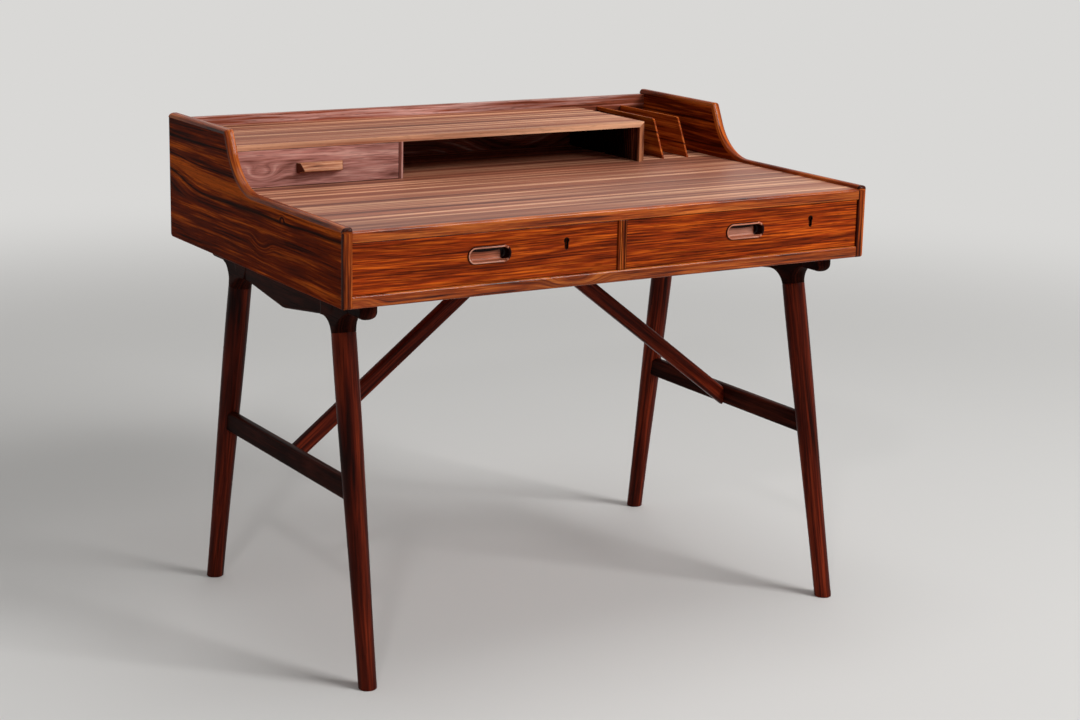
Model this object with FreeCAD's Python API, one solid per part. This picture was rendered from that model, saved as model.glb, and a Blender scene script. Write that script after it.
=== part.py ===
import FreeCAD, Part
import math
import os
from collections import namedtuple

# A rosewood writing desk: a case with two locked drawers and a low gallery
# on a leg frame whose end rails, stretchers and braces are separate pieces.
# Millimetres, +Z up. The origin is the middle of the floor area that the
# desk covers, +X is the sitter's right, and the sitter is on the -Y side.

os.makedirs("parts", exist_ok=True)

Vector = FreeCAD.Vector
LEFT = -1
RIGHT = 1
FRONT = -1
BACK = 1

# Overall sizes
overall_width = 1010.0
overall_height = 840.0
case_depth = 690.0
gallery_side_rise = 100.0
case_height = 120.0
overrun = 5.0
match_tolerance = 0.005

# Case boards
panel_thickness = 16.0
board_thickness = 18.0
bottom_board_thickness = 20.0
back_thickness = 16.0
edge_strip = 8.0
lip_depth = 10.0
lip_setback = 2.0
lip_rounding = 1.5
bottom_lip_rounding = 4.0
panel_rounding = 3.0

# Outline of the side panels
arm_rise = 6.5
arm_corner_radius = 5.0
swoop_radius = 100.0
swoop_run = 44.0
gallery_side_depth = 247.5
top_corner_radius = 6.0
back_corner_radius = 7.0

# Back panel
back_drop = 9.5
back_strip = 6.0

# Divider between the drawers and its beaded stile
divider_thickness = 16.0
stile_depth = 22.0
bead_groove_width = 1.0
bead_groove_depth = 1.2
left_bead_offset = 1.8
right_bead_offset = 4.6

# Large drawers
drawer_setback = 3.0
front_gap = 1.0
front_thickness = 18.0
side_gap = 2.0
side_thickness = 12.0
side_height = 70.0
side_lift = 5.0
box_length = 520.0
box_back_thickness = 10.0
box_bottom_thickness = 5.0
box_bottom_rise = 8.0
bottom_groove_depth = 4.0

# Side runners of the large drawers
runner_height = 14.0
runner_groove_depth = 6.0
runner_clearance = 0.3
runner_front_setback = 30.0
runner_back_setback = 40.0

# Oval recessed handles
handle_length = 79.0
handle_height = 28.0
handle_ring_width = 3.0
handle_proud = 2.5
handle_ring_rounding = 1.2
handle_recess_depth = 11.0
handle_recess_rounding = 5.0
handle_floor = 3.0
handle_rise = 4.0

# Locks of the large drawers
left_lock_offset = 142.5
right_lock_offset = 138.8
key_rise = 10.5
key_eye_radius = 3.8
key_slot_width = 4.6
key_hole_height = 17.0
key_pin_radius = 1.0
escutcheon_wall = 1.2
escutcheon_depth = 4.0
lock_width = 40.0
lock_depth = 11.0
lock_height = 48.0
lock_back_wall = 3.0
bolt_width = 18.0
bolt_thickness = 4.0
bolt_height = 15.0
bolt_sink = 0.5
bolt_clearance = 0.05
bolt_travel = 6.0
strike_clearance = 1.0

# Gallery on the desk surface
gallery_depth = 259.0
gallery_height = 74.0
gallery_board = 10.0
gallery_rounding = 1.0
small_bay_width = 304.0
partition_thickness = 8.0
letter_bay_width = 161.5
slot_count = 3
letter_divider_thickness = 4.0
letter_divider_height = 71.5
letter_divider_setback = 12.0
letter_divider_slope_run = 36.0
letter_divider_corner = 8.0

# Small gallery drawer
small_gap = 0.8
small_front_thickness = 12.0
small_side_thickness = 8.0
small_side_height = 50.0
small_side_lift = 0.3
small_side_gap = 1.0
small_box_length = 200.0
small_back_thickness = 8.0
small_bottom_thickness = 4.0
small_bottom_rise = 5.0
small_groove_depth = 3.0
small_stop_height = 20.0

# Wedge pull of the small drawer
pull_length = 88.0
pull_height = 17.0
pull_top_depth = 8.0
pull_reach = 16.0
pull_lip_rise = 5.6
pull_lip_thickness = 2.5
pull_root = 4.0
pull_hollow = 2.0
pull_end_run = 8.0
pull_foot_rise = 22.0

# Leg frame
leg_head_inset = 60.0
foot_inset = 45.0
front_foot_setback = 6.0
front_splay = 125.0
back_foot_setback = 71.0
back_splay = 109.0
joint_drop = 63.0
leg_joint_radius = 20.0
leg_belly_radius = 20.1
leg_middle_radius = 17.4
foot_radius = 15.1
foot_chamfer = 2.0
belly_share = 0.14
middle_share = 0.57
tenon_radius = 10.0
tenon_length = 32.0
tenon_clearance = 0.1

# End rails with shaped leg heads
rail_width = 30.0
nub_height = 28.0
front_nub_setback = 28.0
back_nub_setback = 69.0
nub_corner_radius = 14.0
rail_rounding = 6.0
rail_end_depth = 40.0
rail_middle_depth = 64.0
cove_radius = 30.0
head_cheek = 0.6

# Stretchers and braces
stretcher_top = 325.0
stretcher_height = 36.0
stretcher_thickness = 20.0
stretcher_rounding = 7.0
stretcher_tenon_length = 10.0
stretcher_tenon_thickness = 10.0
stretcher_tenon_height = 22.0
brace_width = 28.0
brace_thickness = 18.0
brace_rounding = 6.0
brace_head_gap = 20.0
brace_foot_drop = 2.0
block_height = 24.0

# Screws
screw_head_radius = 4.5
screw_head_height = 3.0
screw_shank_radius = 2.2
screw_bite = 12.0
screw_sink = 1.0
screw_clearance = 0.1
brace_screw_rise = 5.0
rail_screw_inset = 50.0
rail_screw_head_depth = 24.0

# Levels and faces that follow from the sizes above
desk_height = overall_height - gallery_side_rise
case_clearance = desk_height - case_height
front_lean = math.atan2(front_splay, case_clearance)
foot_overhang = foot_radius / math.cos(front_lean) - foot_chamfer * math.tan(front_lean) - front_foot_setback
case_back_y = (case_depth + foot_overhang) / 2
case_front_y = case_back_y - case_depth
outer_x = overall_width / 2
inner_x = outer_x - panel_thickness
arm_height = desk_height + arm_rise
opening_bottom = case_clearance + bottom_board_thickness
opening_top = desk_height - board_thickness
lip_front_y = case_front_y + lip_setback
lip_back_y = lip_front_y + lip_depth
drawer_front_y = lip_front_y + drawer_setback
drawer_back_y = drawer_front_y + front_thickness
back_front_y = case_back_y - back_thickness
back_top = overall_height - back_drop
gallery_front_y = case_back_y - gallery_depth
gallery_top = desk_height + gallery_height
gallery_end_x = inner_x - letter_bay_width
partition_x = -inner_x + small_bay_width
key_z = (opening_bottom + opening_top) / 2 + key_rise
handle_z = (opening_bottom + opening_top) / 2 + handle_rise

# Everything that one drawer box is made from
Box = namedtuple("Box", "x0 x1 z0 z1 front_y gap front side_gap side height lift "
                 "length back bottom bottom_rise groove")


def large_drawer(side):
    """Sizes of the drawer on one side of the divider."""
    near = divider_thickness / 2
    x0, x1 = (-inner_x, -near) if side == LEFT else (near, inner_x)
    return Box(x0, x1, opening_bottom, opening_top, drawer_front_y, front_gap, front_thickness,
               side_gap, side_thickness, side_height, side_lift, box_length, box_back_thickness,
               box_bottom_thickness, box_bottom_rise, bottom_groove_depth)


def small_drawer():
    """Sizes of the drawer in the gallery."""
    return Box(-inner_x, partition_x, desk_height, gallery_top - gallery_board, gallery_front_y,
               small_gap, small_front_thickness, small_side_gap, small_side_thickness,
               small_side_height, small_side_lift, small_box_length, small_back_thickness,
               small_bottom_thickness, small_bottom_rise, small_groove_depth)


def block(x0, x1, y0, y1, z0, z1):
    """Box between two opposite corners."""
    return Part.makeBox(x1 - x0, y1 - y0, z1 - z0, Vector(x0, y0, z0))


def on_yz(u, v):
    return Vector(0, u, v)


def on_xz(u, v):
    return Vector(u, 0, v)


def outline(corners, place):
    """Closed wire through corners (u, v, radius), with a tangent arc at each corner that has one."""
    starts = []
    ends = []
    arcs = []
    for i, (u, v, radius) in enumerate(corners):
        corner = Vector(u, v, 0)
        before = Vector(corners[i - 1][0], corners[i - 1][1], 0) - corner
        after = Vector(corners[(i + 1) % len(corners)][0], corners[(i + 1) % len(corners)][1], 0) - corner
        before.normalize()
        after.normalize()
        half = before.getAngle(after) / 2
        cut = radius / math.tan(half)
        first = corner + before * cut
        last = corner + after * cut
        inward = before + after
        middle = corner
        if radius > 0:
            inward.normalize()
            middle = corner + inward * (radius / math.sin(half) - radius)
        starts.append(first)
        ends.append(last)
        arcs.append(middle if radius > 0 else None)
    edges = []
    for i in range(len(corners)):
        if arcs[i] is not None:
            points = [place(p.x, p.y) for p in (starts[i], arcs[i], ends[i])]
            edges.append(Part.Arc(*points).toShape())
        following = starts[(i + 1) % len(corners)]
        if (following - ends[i]).Length > 0:
            edges.append(Part.makeLine(place(ends[i].x, ends[i].y), place(following.x, following.y)))
    return Part.Wire(edges)


def prism(corners, place, start, thickness):
    """Outline pushed out from its plane: start and thickness are measured along the plane's normal axis."""
    normal = Vector(1, 0, 0) if place is on_yz else Vector(0, 1, 0)
    face = Part.Face(outline(corners, place))
    face.translate(normal * start)
    return face.extrude(normal * thickness)


def rounded(shape, radius, chosen):
    """Shape with the chosen edges rounded."""
    edges = [edge for edge in shape.Edges if chosen(edge)]
    return shape.makeFillet(radius, edges)


def lies_on(edge, axis, value):
    """True where a whole edge has one coordinate."""
    box = edge.BoundBox
    low, high = ((box.XMin, box.XMax), (box.YMin, box.YMax), (box.ZMin, box.ZMax))[axis]
    return abs(low - value) < match_tolerance and abs(high - value) < match_tolerance


def mirrored(shape):
    """The same piece on the other side of the desk."""
    return shape.mirror(Vector(0, 0, 0), Vector(1, 0, 0))


def side_outline(inset, reach):
    """Side view of a panel, moved in by inset at its front and top, and out by reach elsewhere."""
    lean = math.atan2(swoop_run, overall_height - arm_height)
    top_corner_y = case_back_y - gallery_side_depth
    foot_of_slope_y = top_corner_y - swoop_run
    shift = inset / math.cos(lean)

    def slope_y(z):
        return foot_of_slope_y + (z - arm_height) * math.tan(lean) + shift

    front = case_front_y + inset
    arm = arm_height - inset
    top = overall_height - inset
    plain = inset > 0
    return [
        (front, case_clearance - reach, 0 if plain else arm_corner_radius),
        (case_back_y + reach, case_clearance - reach, 0 if plain else back_corner_radius),
        (case_back_y + reach, top, 0 if plain else top_corner_radius),
        (slope_y(top), top, 0 if plain else top_corner_radius),
        (slope_y(arm), arm, swoop_radius + inset),
        (front, arm, 0 if plain else arm_corner_radius),
    ]


def whole_side():
    """Left side panel with its solid edging, before they are parted."""
    side = prism(side_outline(0, 0), on_yz, -outer_x, panel_thickness)
    return rounded(side, panel_rounding, lambda e: lies_on(e, 0, -outer_x) or lies_on(e, 0, -inner_x))


def side_core():
    """Space inside the solid edging of the left side panel."""
    return prism(side_outline(edge_strip, overrun), on_yz, -outer_x - overrun, panel_thickness + 2 * overrun)


def front_strip_space():
    """Space of the upright front edging, up to its mitre with the arm edging."""
    corners = [
        (case_front_y - overrun, case_clearance - overrun, 0),
        (case_front_y + edge_strip, case_clearance - overrun, 0),
        (case_front_y + edge_strip, arm_height - edge_strip, 0),
        (case_front_y - overrun, arm_height + overrun, 0),
    ]
    return prism(corners, on_yz, -outer_x - overrun, panel_thickness + 2 * overrun)


def side_panel():
    """Veneered left side panel inside its edging."""
    return whole_side().common(side_core())


def front_edging():
    """Solid upright edging on the front of the left side panel."""
    return whole_side().cut(side_core()).common(front_strip_space())


def top_edging():
    """Solid edging along the arm, the swoop and the top of the left side panel."""
    return whole_side().cut(side_core()).cut(front_strip_space())


def lip(z0, thickness, lower_rounding):
    """Solid front edging of a board, with its two long front edges eased."""
    bar = block(-inner_x, inner_x, lip_front_y, lip_back_y, z0, z0 + thickness)
    for z, radius in ((z0, lower_rounding), (z0 + thickness, lip_rounding)):
        bar = rounded(bar, radius, lambda e: lies_on(e, 1, lip_front_y) and lies_on(e, 2, z))
    return bar


def strike(side):
    """Mortise in the desktop's underside that the lock bolt rises into."""
    x, y = lock_centre(side)
    half_width = bolt_width / 2 + strike_clearance
    half_depth = bolt_thickness / 2 + strike_clearance
    return block(x - half_width, x + half_width, y - half_depth, y + half_depth,
                 opening_top - overrun, opening_top + bolt_travel + strike_clearance)


def desktop_board():
    board = block(-inner_x, inner_x, lip_back_y, back_front_y, opening_top, desk_height)
    return board.cut(strike(LEFT)).cut(strike(RIGHT))


def bottom_board():
    board = block(-inner_x, inner_x, lip_back_y, back_front_y, case_clearance, opening_bottom)
    return board.cut(frame_screw_holes())


def divider():
    """Upright board between the two drawers."""
    half = divider_thickness / 2
    return block(-half, half, lip_front_y + stile_depth, back_front_y, opening_bottom, opening_top)


def stile():
    """Solid front of the divider, with two fine grooves that leave a bead."""
    half = divider_thickness / 2
    bar = block(-half, half, lip_front_y, lip_front_y + stile_depth, opening_bottom, opening_top)
    for x in (-left_bead_offset, right_bead_offset):
        near = x - bead_groove_width / 2
        bar = bar.cut(block(near, near + bead_groove_width, lip_front_y - overrun,
                            lip_front_y + bead_groove_depth, opening_bottom - overrun, opening_top + overrun))
    return bar


def back_panel():
    return block(-inner_x, inner_x, back_front_y, case_back_y, case_clearance, back_top - back_strip)


def back_edging():
    """Solid edging along the top of the back panel, eased on both sides."""
    bar = block(-inner_x, inner_x, back_front_y, case_back_y, back_top - back_strip, back_top)

    def at_end(edge):
        return lies_on(edge, 0, -inner_x) or lies_on(edge, 0, inner_x)

    return rounded(bar, lip_rounding, lambda e: lies_on(e, 2, back_top) and not at_end(e))


def runner_level():
    """Middle height of the side runners."""
    return opening_bottom + side_lift + side_height / 2


def runners():
    """Four strips that the large drawers hang on by the grooves in their sides."""
    reach = side_gap + runner_groove_depth - runner_clearance
    low = runner_level() - runner_height / 2
    y0 = drawer_back_y + runner_front_setback
    y1 = drawer_back_y + box_length - runner_back_setback
    near = divider_thickness / 2
    spans = [(-inner_x, -inner_x + reach), (-near - reach, -near), (near, near + reach), (inner_x - reach, inner_x)]
    return [block(x0, x1, y0, y1, low, low + runner_height) for x0, x1 in spans]


def runner_groove(box, side):
    """Groove in a drawer side that takes its runner, open at the back."""
    half = runner_height / 2 + runner_clearance
    level = runner_level()
    face = box.x0 + box.side_gap if side == LEFT else box.x1 - box.side_gap
    depth = runner_groove_depth * -side
    x0, x1 = sorted((face - depth, face + depth))
    y0 = drawer_back_y + runner_front_setback - runner_clearance
    return block(x0, x1, y0, drawer_back_y + box_length + overrun, level - half, level + half)


def front_board(box):
    """Front of a drawer, grooved behind for the drawer's bottom."""
    board = block(box.x0 + box.gap, box.x1 - box.gap, box.front_y, box.front_y + box.front,
                  box.z0 + box.gap, box.z1 - box.gap)
    low = box.z0 + box.lift + box.bottom_rise
    behind = box.front_y + box.front
    inset = box.side_gap + box.side - box.groove
    return board.cut(block(box.x0 + inset, box.x1 - inset, behind - box.groove, behind + overrun,
                           low, low + box.bottom))


def box_side(box, side):
    """Left or right side of a drawer box, grooved for the bottom."""
    x0 = box.x0 + box.side_gap if side == LEFT else box.x1 - box.side_gap - box.side
    y0 = box.front_y + box.front
    z0 = box.z0 + box.lift
    board = block(x0, x0 + box.side, y0, y0 + box.length, z0, z0 + box.height)
    low = z0 + box.bottom_rise
    inner = x0 + box.side if side == LEFT else x0
    groove = block(inner - box.groove, inner + box.groove, y0 - overrun, y0 + box.length + overrun,
                   low, low + box.bottom)
    return board.cut(groove)


def box_back(box):
    """Back of a drawer box, standing on the bottom."""
    inset = box.side_gap + box.side
    end = box.front_y + box.front + box.length
    low = box.z0 + box.lift + box.bottom_rise + box.bottom
    return block(box.x0 + inset, box.x1 - inset, end - box.back, end, low, box.z0 + box.lift + box.height)


def box_bottom(box):
    """Bottom of a drawer box, let into the front and the sides."""
    inset = box.side_gap + box.side - box.groove
    low = box.z0 + box.lift + box.bottom_rise
    behind = box.front_y + box.front
    return block(box.x0 + inset, box.x1 - inset, behind - box.groove, behind + box.length, low, low + box.bottom)


def handle_centre(side):
    box = large_drawer(side)
    return (box.x0 + box.x1) / 2


def lock_centre(side):
    """Middle of the lock bolt in plan."""
    offset = left_lock_offset if side == LEFT else right_lock_offset
    return handle_centre(side) + offset, drawer_back_y - lock_depth / 2


def stadium(x, z, length, height, y0, y1):
    """Bar with round ends, across the drawer front."""
    half = length / 2
    rise = height / 2
    corners = [(x - half, z - rise, rise), (x + half, z - rise, rise),
               (x + half, z + rise, rise), (x - half, z + rise, rise)]
    return prism(corners, on_xz, y0, y1 - y0)


def handle_depth():
    return handle_recess_depth + handle_floor


def handle(side):
    """Turned oval cup let into the drawer front, with a ring that stands proud of it."""
    x = handle_centre(side)
    ring_y = drawer_front_y - handle_proud
    cup = stadium(x, handle_z, handle_length, handle_height, ring_y, drawer_front_y + handle_depth())
    cup = rounded(cup, handle_ring_rounding, lambda e: lies_on(e, 1, ring_y))
    wide = handle_length - 2 * handle_ring_width
    high = handle_height - 2 * handle_ring_width
    floor_y = drawer_front_y + handle_recess_depth
    recess = stadium(x, handle_z, wide, high, ring_y - overrun, floor_y)
    recess = rounded(recess, handle_recess_rounding, lambda e: lies_on(e, 1, floor_y))
    return cup.cut(recess)


def key_outline(side, wall, y0, y1):
    """Keyhole shape, a round eye over a slot, grown by wall all round."""
    x = lock_centre(side)[0]
    eye = key_eye_radius + wall
    half = key_slot_width / 2 + wall
    top = key_z + key_hole_height / 2
    eye_z = top - key_eye_radius
    slot_bottom = top - key_hole_height - wall
    round_part = Part.makeCylinder(eye, y1 - y0, Vector(x, y0, eye_z), Vector(0, 1, 0))
    slot = prism([(x - half, slot_bottom, half), (x + half, slot_bottom, half),
                  (x + half, eye_z, 0), (x - half, eye_z, 0)], on_xz, y0, y1 - y0)
    return round_part.fuse(slot).removeSplitter()


def escutcheon(side):
    """Thin keyhole lining set flush in the drawer front."""
    ring = key_outline(side, escutcheon_wall, drawer_front_y, drawer_front_y + escutcheon_depth)
    return ring.cut(key_outline(side, 0, drawer_front_y - overrun, drawer_back_y))


def bolt_space(side, clearance, top):
    """Room of the lock bolt, from its foot up to a height."""
    x, y = lock_centre(side)
    half_width = bolt_width / 2 + clearance
    half_depth = bolt_thickness / 2 + clearance
    foot = opening_top - front_gap - bolt_sink - bolt_height
    return block(x - half_width, x + half_width, y - half_depth, y + half_depth, foot, top)


def lock_space(side):
    """Pocket behind the drawer front, open at its back and top."""
    x = lock_centre(side)[0]
    half = lock_width / 2
    top = opening_top - front_gap
    return block(x - half, x + half, drawer_back_y - lock_depth, drawer_back_y, top - lock_height, top)


def lock_case(side):
    """Lock body with the bolt's channel, the keyhole and the pin that guides the key."""
    body = lock_space(side).cut(bolt_space(side, bolt_clearance, opening_top))
    body = body.cut(key_outline(side, 0, drawer_front_y, drawer_back_y - lock_back_wall))
    x = lock_centre(side)[0]
    eye_z = key_z + key_hole_height / 2 - key_eye_radius
    pin = Part.makeCylinder(key_pin_radius, lock_depth - lock_back_wall,
                            Vector(x, drawer_back_y - lock_depth, eye_z), Vector(0, 1, 0))
    return body.fuse(pin).removeSplitter()


def lock_bolt(side):
    """Bolt that the key lifts out of the drawer's top edge."""
    return bolt_space(side, 0, opening_top - front_gap - bolt_sink)


def drawer_front(side):
    """Front of a large drawer with the seats of its handle, keyhole and lock."""
    board = front_board(large_drawer(side))
    x = handle_centre(side)
    board = board.cut(stadium(x, handle_z, handle_length, handle_height, drawer_front_y - overrun,
                              drawer_front_y + handle_depth()))
    board = board.cut(lock_space(side).fuse(lock_space(side).translated(Vector(0, overrun, overrun))))
    board = board.cut(key_outline(side, escutcheon_wall, drawer_front_y - overrun, drawer_front_y + escutcheon_depth))
    return board.cut(key_outline(side, 0, drawer_front_y, drawer_back_y))


def pull_span():
    """Left and right end of the pull where it meets the drawer."""
    box = small_drawer()
    middle = (box.x0 + box.x1) / 2
    return middle - pull_length / 2, middle + pull_length / 2


def pull_section():
    """Side view of the pull: a steep face over a lip, and a hollow under it for the fingers."""
    z0 = desk_height + pull_foot_rise
    y0 = gallery_front_y
    lip_y = y0 - pull_reach
    lip_z = z0 + pull_lip_rise
    hollow_start = Vector(0, lip_y, lip_z - pull_lip_thickness)
    hollow_end = Vector(0, y0 - pull_root, z0)
    hollow_middle = (hollow_start + hollow_end) * 0.5 + Vector(0, 0, pull_hollow)
    corners = [hollow_end, Vector(0, y0, z0), Vector(0, y0, z0 + pull_height),
               Vector(0, y0 - pull_top_depth, z0 + pull_height), Vector(0, lip_y, lip_z), hollow_start]
    edges = [Part.makeLine(a, b) for a, b in zip(corners, corners[1:])]
    edges.append(Part.Arc(hollow_start, hollow_middle, hollow_end).toShape())
    return Part.Face(Part.Wire(edges))


def pull():
    """Wedge pull of the small drawer, whose ends run in towards its lip."""
    left, right = pull_span()
    section = pull_section()
    section.translate(Vector(left, 0, 0))
    bar = section.extrude(Vector(pull_length, 0, 0))
    front = gallery_front_y - pull_reach
    corners = [Vector(left, gallery_front_y, desk_height), Vector(right, gallery_front_y, desk_height),
               Vector(right - pull_end_run, front, desk_height), Vector(left + pull_end_run, front, desk_height)]
    plan = Part.Face(Part.makePolygon(corners + corners[:1]))
    return bar.common(plan.extrude(Vector(0, 0, pull_foot_rise + pull_height + overrun)))


def mitre_space():
    """Everything to the right of the mitre plane between the top board and the upright."""
    corners = [(gallery_end_x - gallery_board, desk_height - overrun, 0),
               (gallery_end_x + overrun, desk_height - overrun, 0),
               (gallery_end_x + overrun, gallery_top + overrun, 0),
               (gallery_end_x - gallery_board, gallery_top - gallery_board, 0)]
    return prism(corners, on_xz, gallery_front_y - overrun, gallery_depth)


def gallery_shell():
    """Top board and end upright in one, eased along the front edges."""
    shell = block(-inner_x, gallery_end_x, gallery_front_y, back_front_y, desk_height, gallery_top)
    room = block(-inner_x - overrun, gallery_end_x - gallery_board, gallery_front_y - overrun,
                 back_front_y + overrun, desk_height - overrun, gallery_top - gallery_board)
    shell = shell.cut(room)

    def outer_edge(edge):
        outside = lies_on(edge, 2, gallery_top) or lies_on(edge, 0, gallery_end_x)
        crossing = lies_on(edge, 2, gallery_top) and lies_on(edge, 0, gallery_end_x)
        return outside and (lies_on(edge, 1, gallery_front_y) or crossing)

    return rounded(shell, gallery_rounding, outer_edge)


def gallery_top_board():
    return gallery_shell().cut(mitre_space())


def gallery_upright():
    return gallery_shell().common(mitre_space())


def partition():
    """Thin upright between the small drawer and the open shelf."""
    return block(partition_x, partition_x + partition_thickness, gallery_front_y, back_front_y,
                 desk_height, gallery_top - gallery_board)


def small_stop():
    """Block at the back of the gallery that stops the small drawer when it is shut."""
    inset = small_side_gap + small_side_thickness
    y0 = gallery_front_y + small_front_thickness + small_box_length + small_gap
    return block(-inner_x + inset, partition_x - inset, y0, back_front_y, desk_height,
                 desk_height + small_stop_height)


def letter_divider(number):
    """Thin upright of the letter rack, with a sloping front edge."""
    slot = (letter_bay_width - (slot_count - 1) * letter_divider_thickness) / slot_count
    x0 = gallery_end_x + number * slot + (number - 1) * letter_divider_thickness
    foot_y = gallery_front_y + letter_divider_setback
    top = desk_height + letter_divider_height
    corners = [(foot_y, desk_height, 0), (back_front_y, desk_height, 0), (back_front_y, top, 0),
               (foot_y + letter_divider_slope_run, top, letter_divider_corner)]
    return prism(corners, on_yz, x0, letter_divider_thickness)


def leg_ends(side, end):
    """Top and bottom of a leg's axis."""
    if end == FRONT:
        foot_y = case_front_y + front_foot_setback
        head_y = foot_y + front_splay
    else:
        foot_y = case_back_y - back_foot_setback
        head_y = foot_y - back_splay
    head = Vector(side * (outer_x - leg_head_inset), head_y, case_clearance)
    foot = Vector(side * (outer_x - foot_inset), foot_y, 0)
    return head, foot


def leg_point(side, end, z):
    """Point of a leg's axis at a height."""
    head, foot = leg_ends(side, end)
    return foot + (head - foot) * (z / case_clearance)


def along_leg(shape, side, end):
    """Puts a shape turned about -Z from the origin on a leg's axis."""
    head, foot = leg_ends(side, end)
    down = foot - head
    turn = FreeCAD.Rotation(Vector(0, 0, -1), down)
    placed = shape.copy()
    placed.Placement = FreeCAD.Placement(head, turn)
    return placed


def joint_distance(side, end):
    """From the top of a leg's axis to its joint with the end rail."""
    head, foot = leg_ends(side, end)
    return (foot - head).Length * joint_drop / case_clearance


def turned(edges):
    """Solid of revolution about Z from a closed half outline on XZ."""
    face = Part.Face(Part.Wire(edges))
    return face.revolve(Vector(0, 0, 0), Vector(0, 0, 1), 360)


def polyline(points):
    return [Part.makeLine(on_xz(*a), on_xz(*b)) for a, b in zip(points, points[1:])]


def leg_blank(side, end):
    """Turned leg with its tenon: it swells a little below the joint and tapers to the foot."""
    head, foot = leg_ends(side, end)
    length = (foot - head).Length
    joint = joint_distance(side, end)
    shaft = length - joint
    curve = Part.BSplineCurve()
    curve.interpolate([on_xz(leg_joint_radius, -joint), on_xz(leg_belly_radius, -joint - shaft * belly_share),
                       on_xz(leg_middle_radius, -joint - shaft * middle_share), on_xz(foot_radius, -length)])
    tip = -length - foot_radius
    edges = polyline([(foot_radius, -length), (foot_radius, tip), (0, tip), (0, tenon_length - joint),
                      (tenon_radius, tenon_length - joint), (tenon_radius, -joint), (leg_joint_radius, -joint)])
    edges.append(curve.toShape())
    return along_leg(turned(edges), side, end)


def under_floor():
    """Space below the floor, which trims the feet flat."""
    return block(-outer_x, outer_x, case_front_y - case_depth, case_back_y + case_depth, -case_clearance, 0)


def leg(side, end):
    """One leg with its mortise for the stretcher and its foot cut flat."""
    shape = leg_blank(side, end).cut(under_floor()).cut(stretcher_tenon(side, end))
    return shape.makeChamfer(foot_chamfer, [e for e in shape.Edges if lies_on(e, 2, 0)])


def rail_outline():
    """Side view of an end rail: rounded ends past the legs and a shallow V between them."""
    front_head = leg_ends(LEFT, FRONT)[0].y
    back_head = leg_ends(LEFT, BACK)[0].y
    nub_low = case_clearance - nub_height
    end_low = case_clearance - rail_end_depth
    return [
        (case_front_y + front_nub_setback, case_clearance, 0),
        (case_front_y + front_nub_setback, nub_low, nub_corner_radius),
        (front_head, nub_low, 0),
        (front_head, end_low, 0),
        ((front_head + back_head) / 2, case_clearance - rail_middle_depth, 0),
        (back_head, end_low, 0),
        (back_head, nub_low, 0),
        (case_back_y - back_nub_setback, nub_low, nub_corner_radius),
        (case_back_y - back_nub_setback, case_clearance, 0),
    ]


def rail_bar():
    """Straight part of the left end rail, rounded along its lower edges and ends."""
    x0 = leg_ends(LEFT, FRONT)[0].x - rail_width / 2
    bar = prism(rail_outline(), on_yz, x0, rail_width)

    def lower_edge(edge):
        on_face = lies_on(edge, 0, x0) or lies_on(edge, 0, x0 + rail_width)
        at_leg = lies_on(edge, 1, leg_ends(LEFT, FRONT)[0].y) or lies_on(edge, 1, leg_ends(LEFT, BACK)[0].y)
        return on_face and not at_leg and not lies_on(edge, 2, case_clearance)

    return rounded(bar, rail_rounding, lower_edge)


def leg_head(end):
    """Shaped head over a leg: coved to the front and back, with two flat tapering cheeks."""
    joint = joint_distance(LEFT, end)
    rim = leg_joint_radius + cove_radius
    middle = cove_radius * (1 - math.sqrt(0.5))
    cove = Part.Arc(on_xz(leg_joint_radius, -joint), on_xz(leg_joint_radius + middle, cove_radius - middle - joint),
                    on_xz(rim, cove_radius - joint)).toShape()
    edges = [cove] + polyline([(rim, cove_radius - joint), (rim, cove_radius), (0, cove_radius), (0, -joint),
                               (leg_joint_radius, -joint)])
    horn = along_leg(turned(edges), LEFT, end)
    centre = leg_ends(LEFT, end)[0]
    low = case_clearance - joint_drop - leg_joint_radius
    neck = leg_point(LEFT, end, low)
    half = rail_width / 2
    cheek = leg_joint_radius + head_cheek
    corners = [
        (neck.x - cheek, low, 0), (neck.x + cheek, low, 0),
        (leg_point(LEFT, end, case_clearance - joint_drop).x + cheek, case_clearance - joint_drop, 0),
        (centre.x + half, case_clearance - nub_height, 0), (centre.x + half, case_clearance, 0),
        (centre.x - half, case_clearance, 0), (centre.x - half, case_clearance - nub_height, 0),
        (leg_point(LEFT, end, case_clearance - joint_drop).x - cheek, case_clearance - joint_drop, 0),
    ]
    cheeks = prism(corners, on_xz, centre.y - 2 * rim, 4 * rim)
    return horn.common(cheeks)


def tenon_socket(end):
    """Round socket in the left end rail for a leg's tenon."""
    joint = joint_distance(LEFT, end)
    radius = tenon_radius + tenon_clearance
    edges = polyline([(0, -joint - overrun), (radius, -joint - overrun), (radius, tenon_length - joint),
                      (0, tenon_length - joint), (0, -joint - overrun)])
    return along_leg(turned(edges), LEFT, end)


def end_rail():
    """Left end rail with its two leg heads in one piece."""
    shape = rail_bar().fuse([leg_head(FRONT), leg_head(BACK)]).removeSplitter()
    shape = shape.cut(tenon_socket(FRONT)).cut(tenon_socket(BACK))
    return shape.cut(frame_screw_holes())


def stretcher_level():
    return stretcher_top - stretcher_height / 2


def stretcher_tenon(side, end):
    """Tenon at one end of a stretcher, inside the leg."""
    centre = leg_point(side, end, stretcher_level())
    half_x = stretcher_tenon_thickness / 2
    half_z = stretcher_tenon_height / 2
    inward = -end * leg_belly_radius
    y0, y1 = sorted((centre.y + inward, centre.y + inward + end * stretcher_tenon_length))
    return block(centre.x - half_x, centre.x + half_x, y0, y1,
                 stretcher_level() - half_z, stretcher_level() + half_z)


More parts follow.
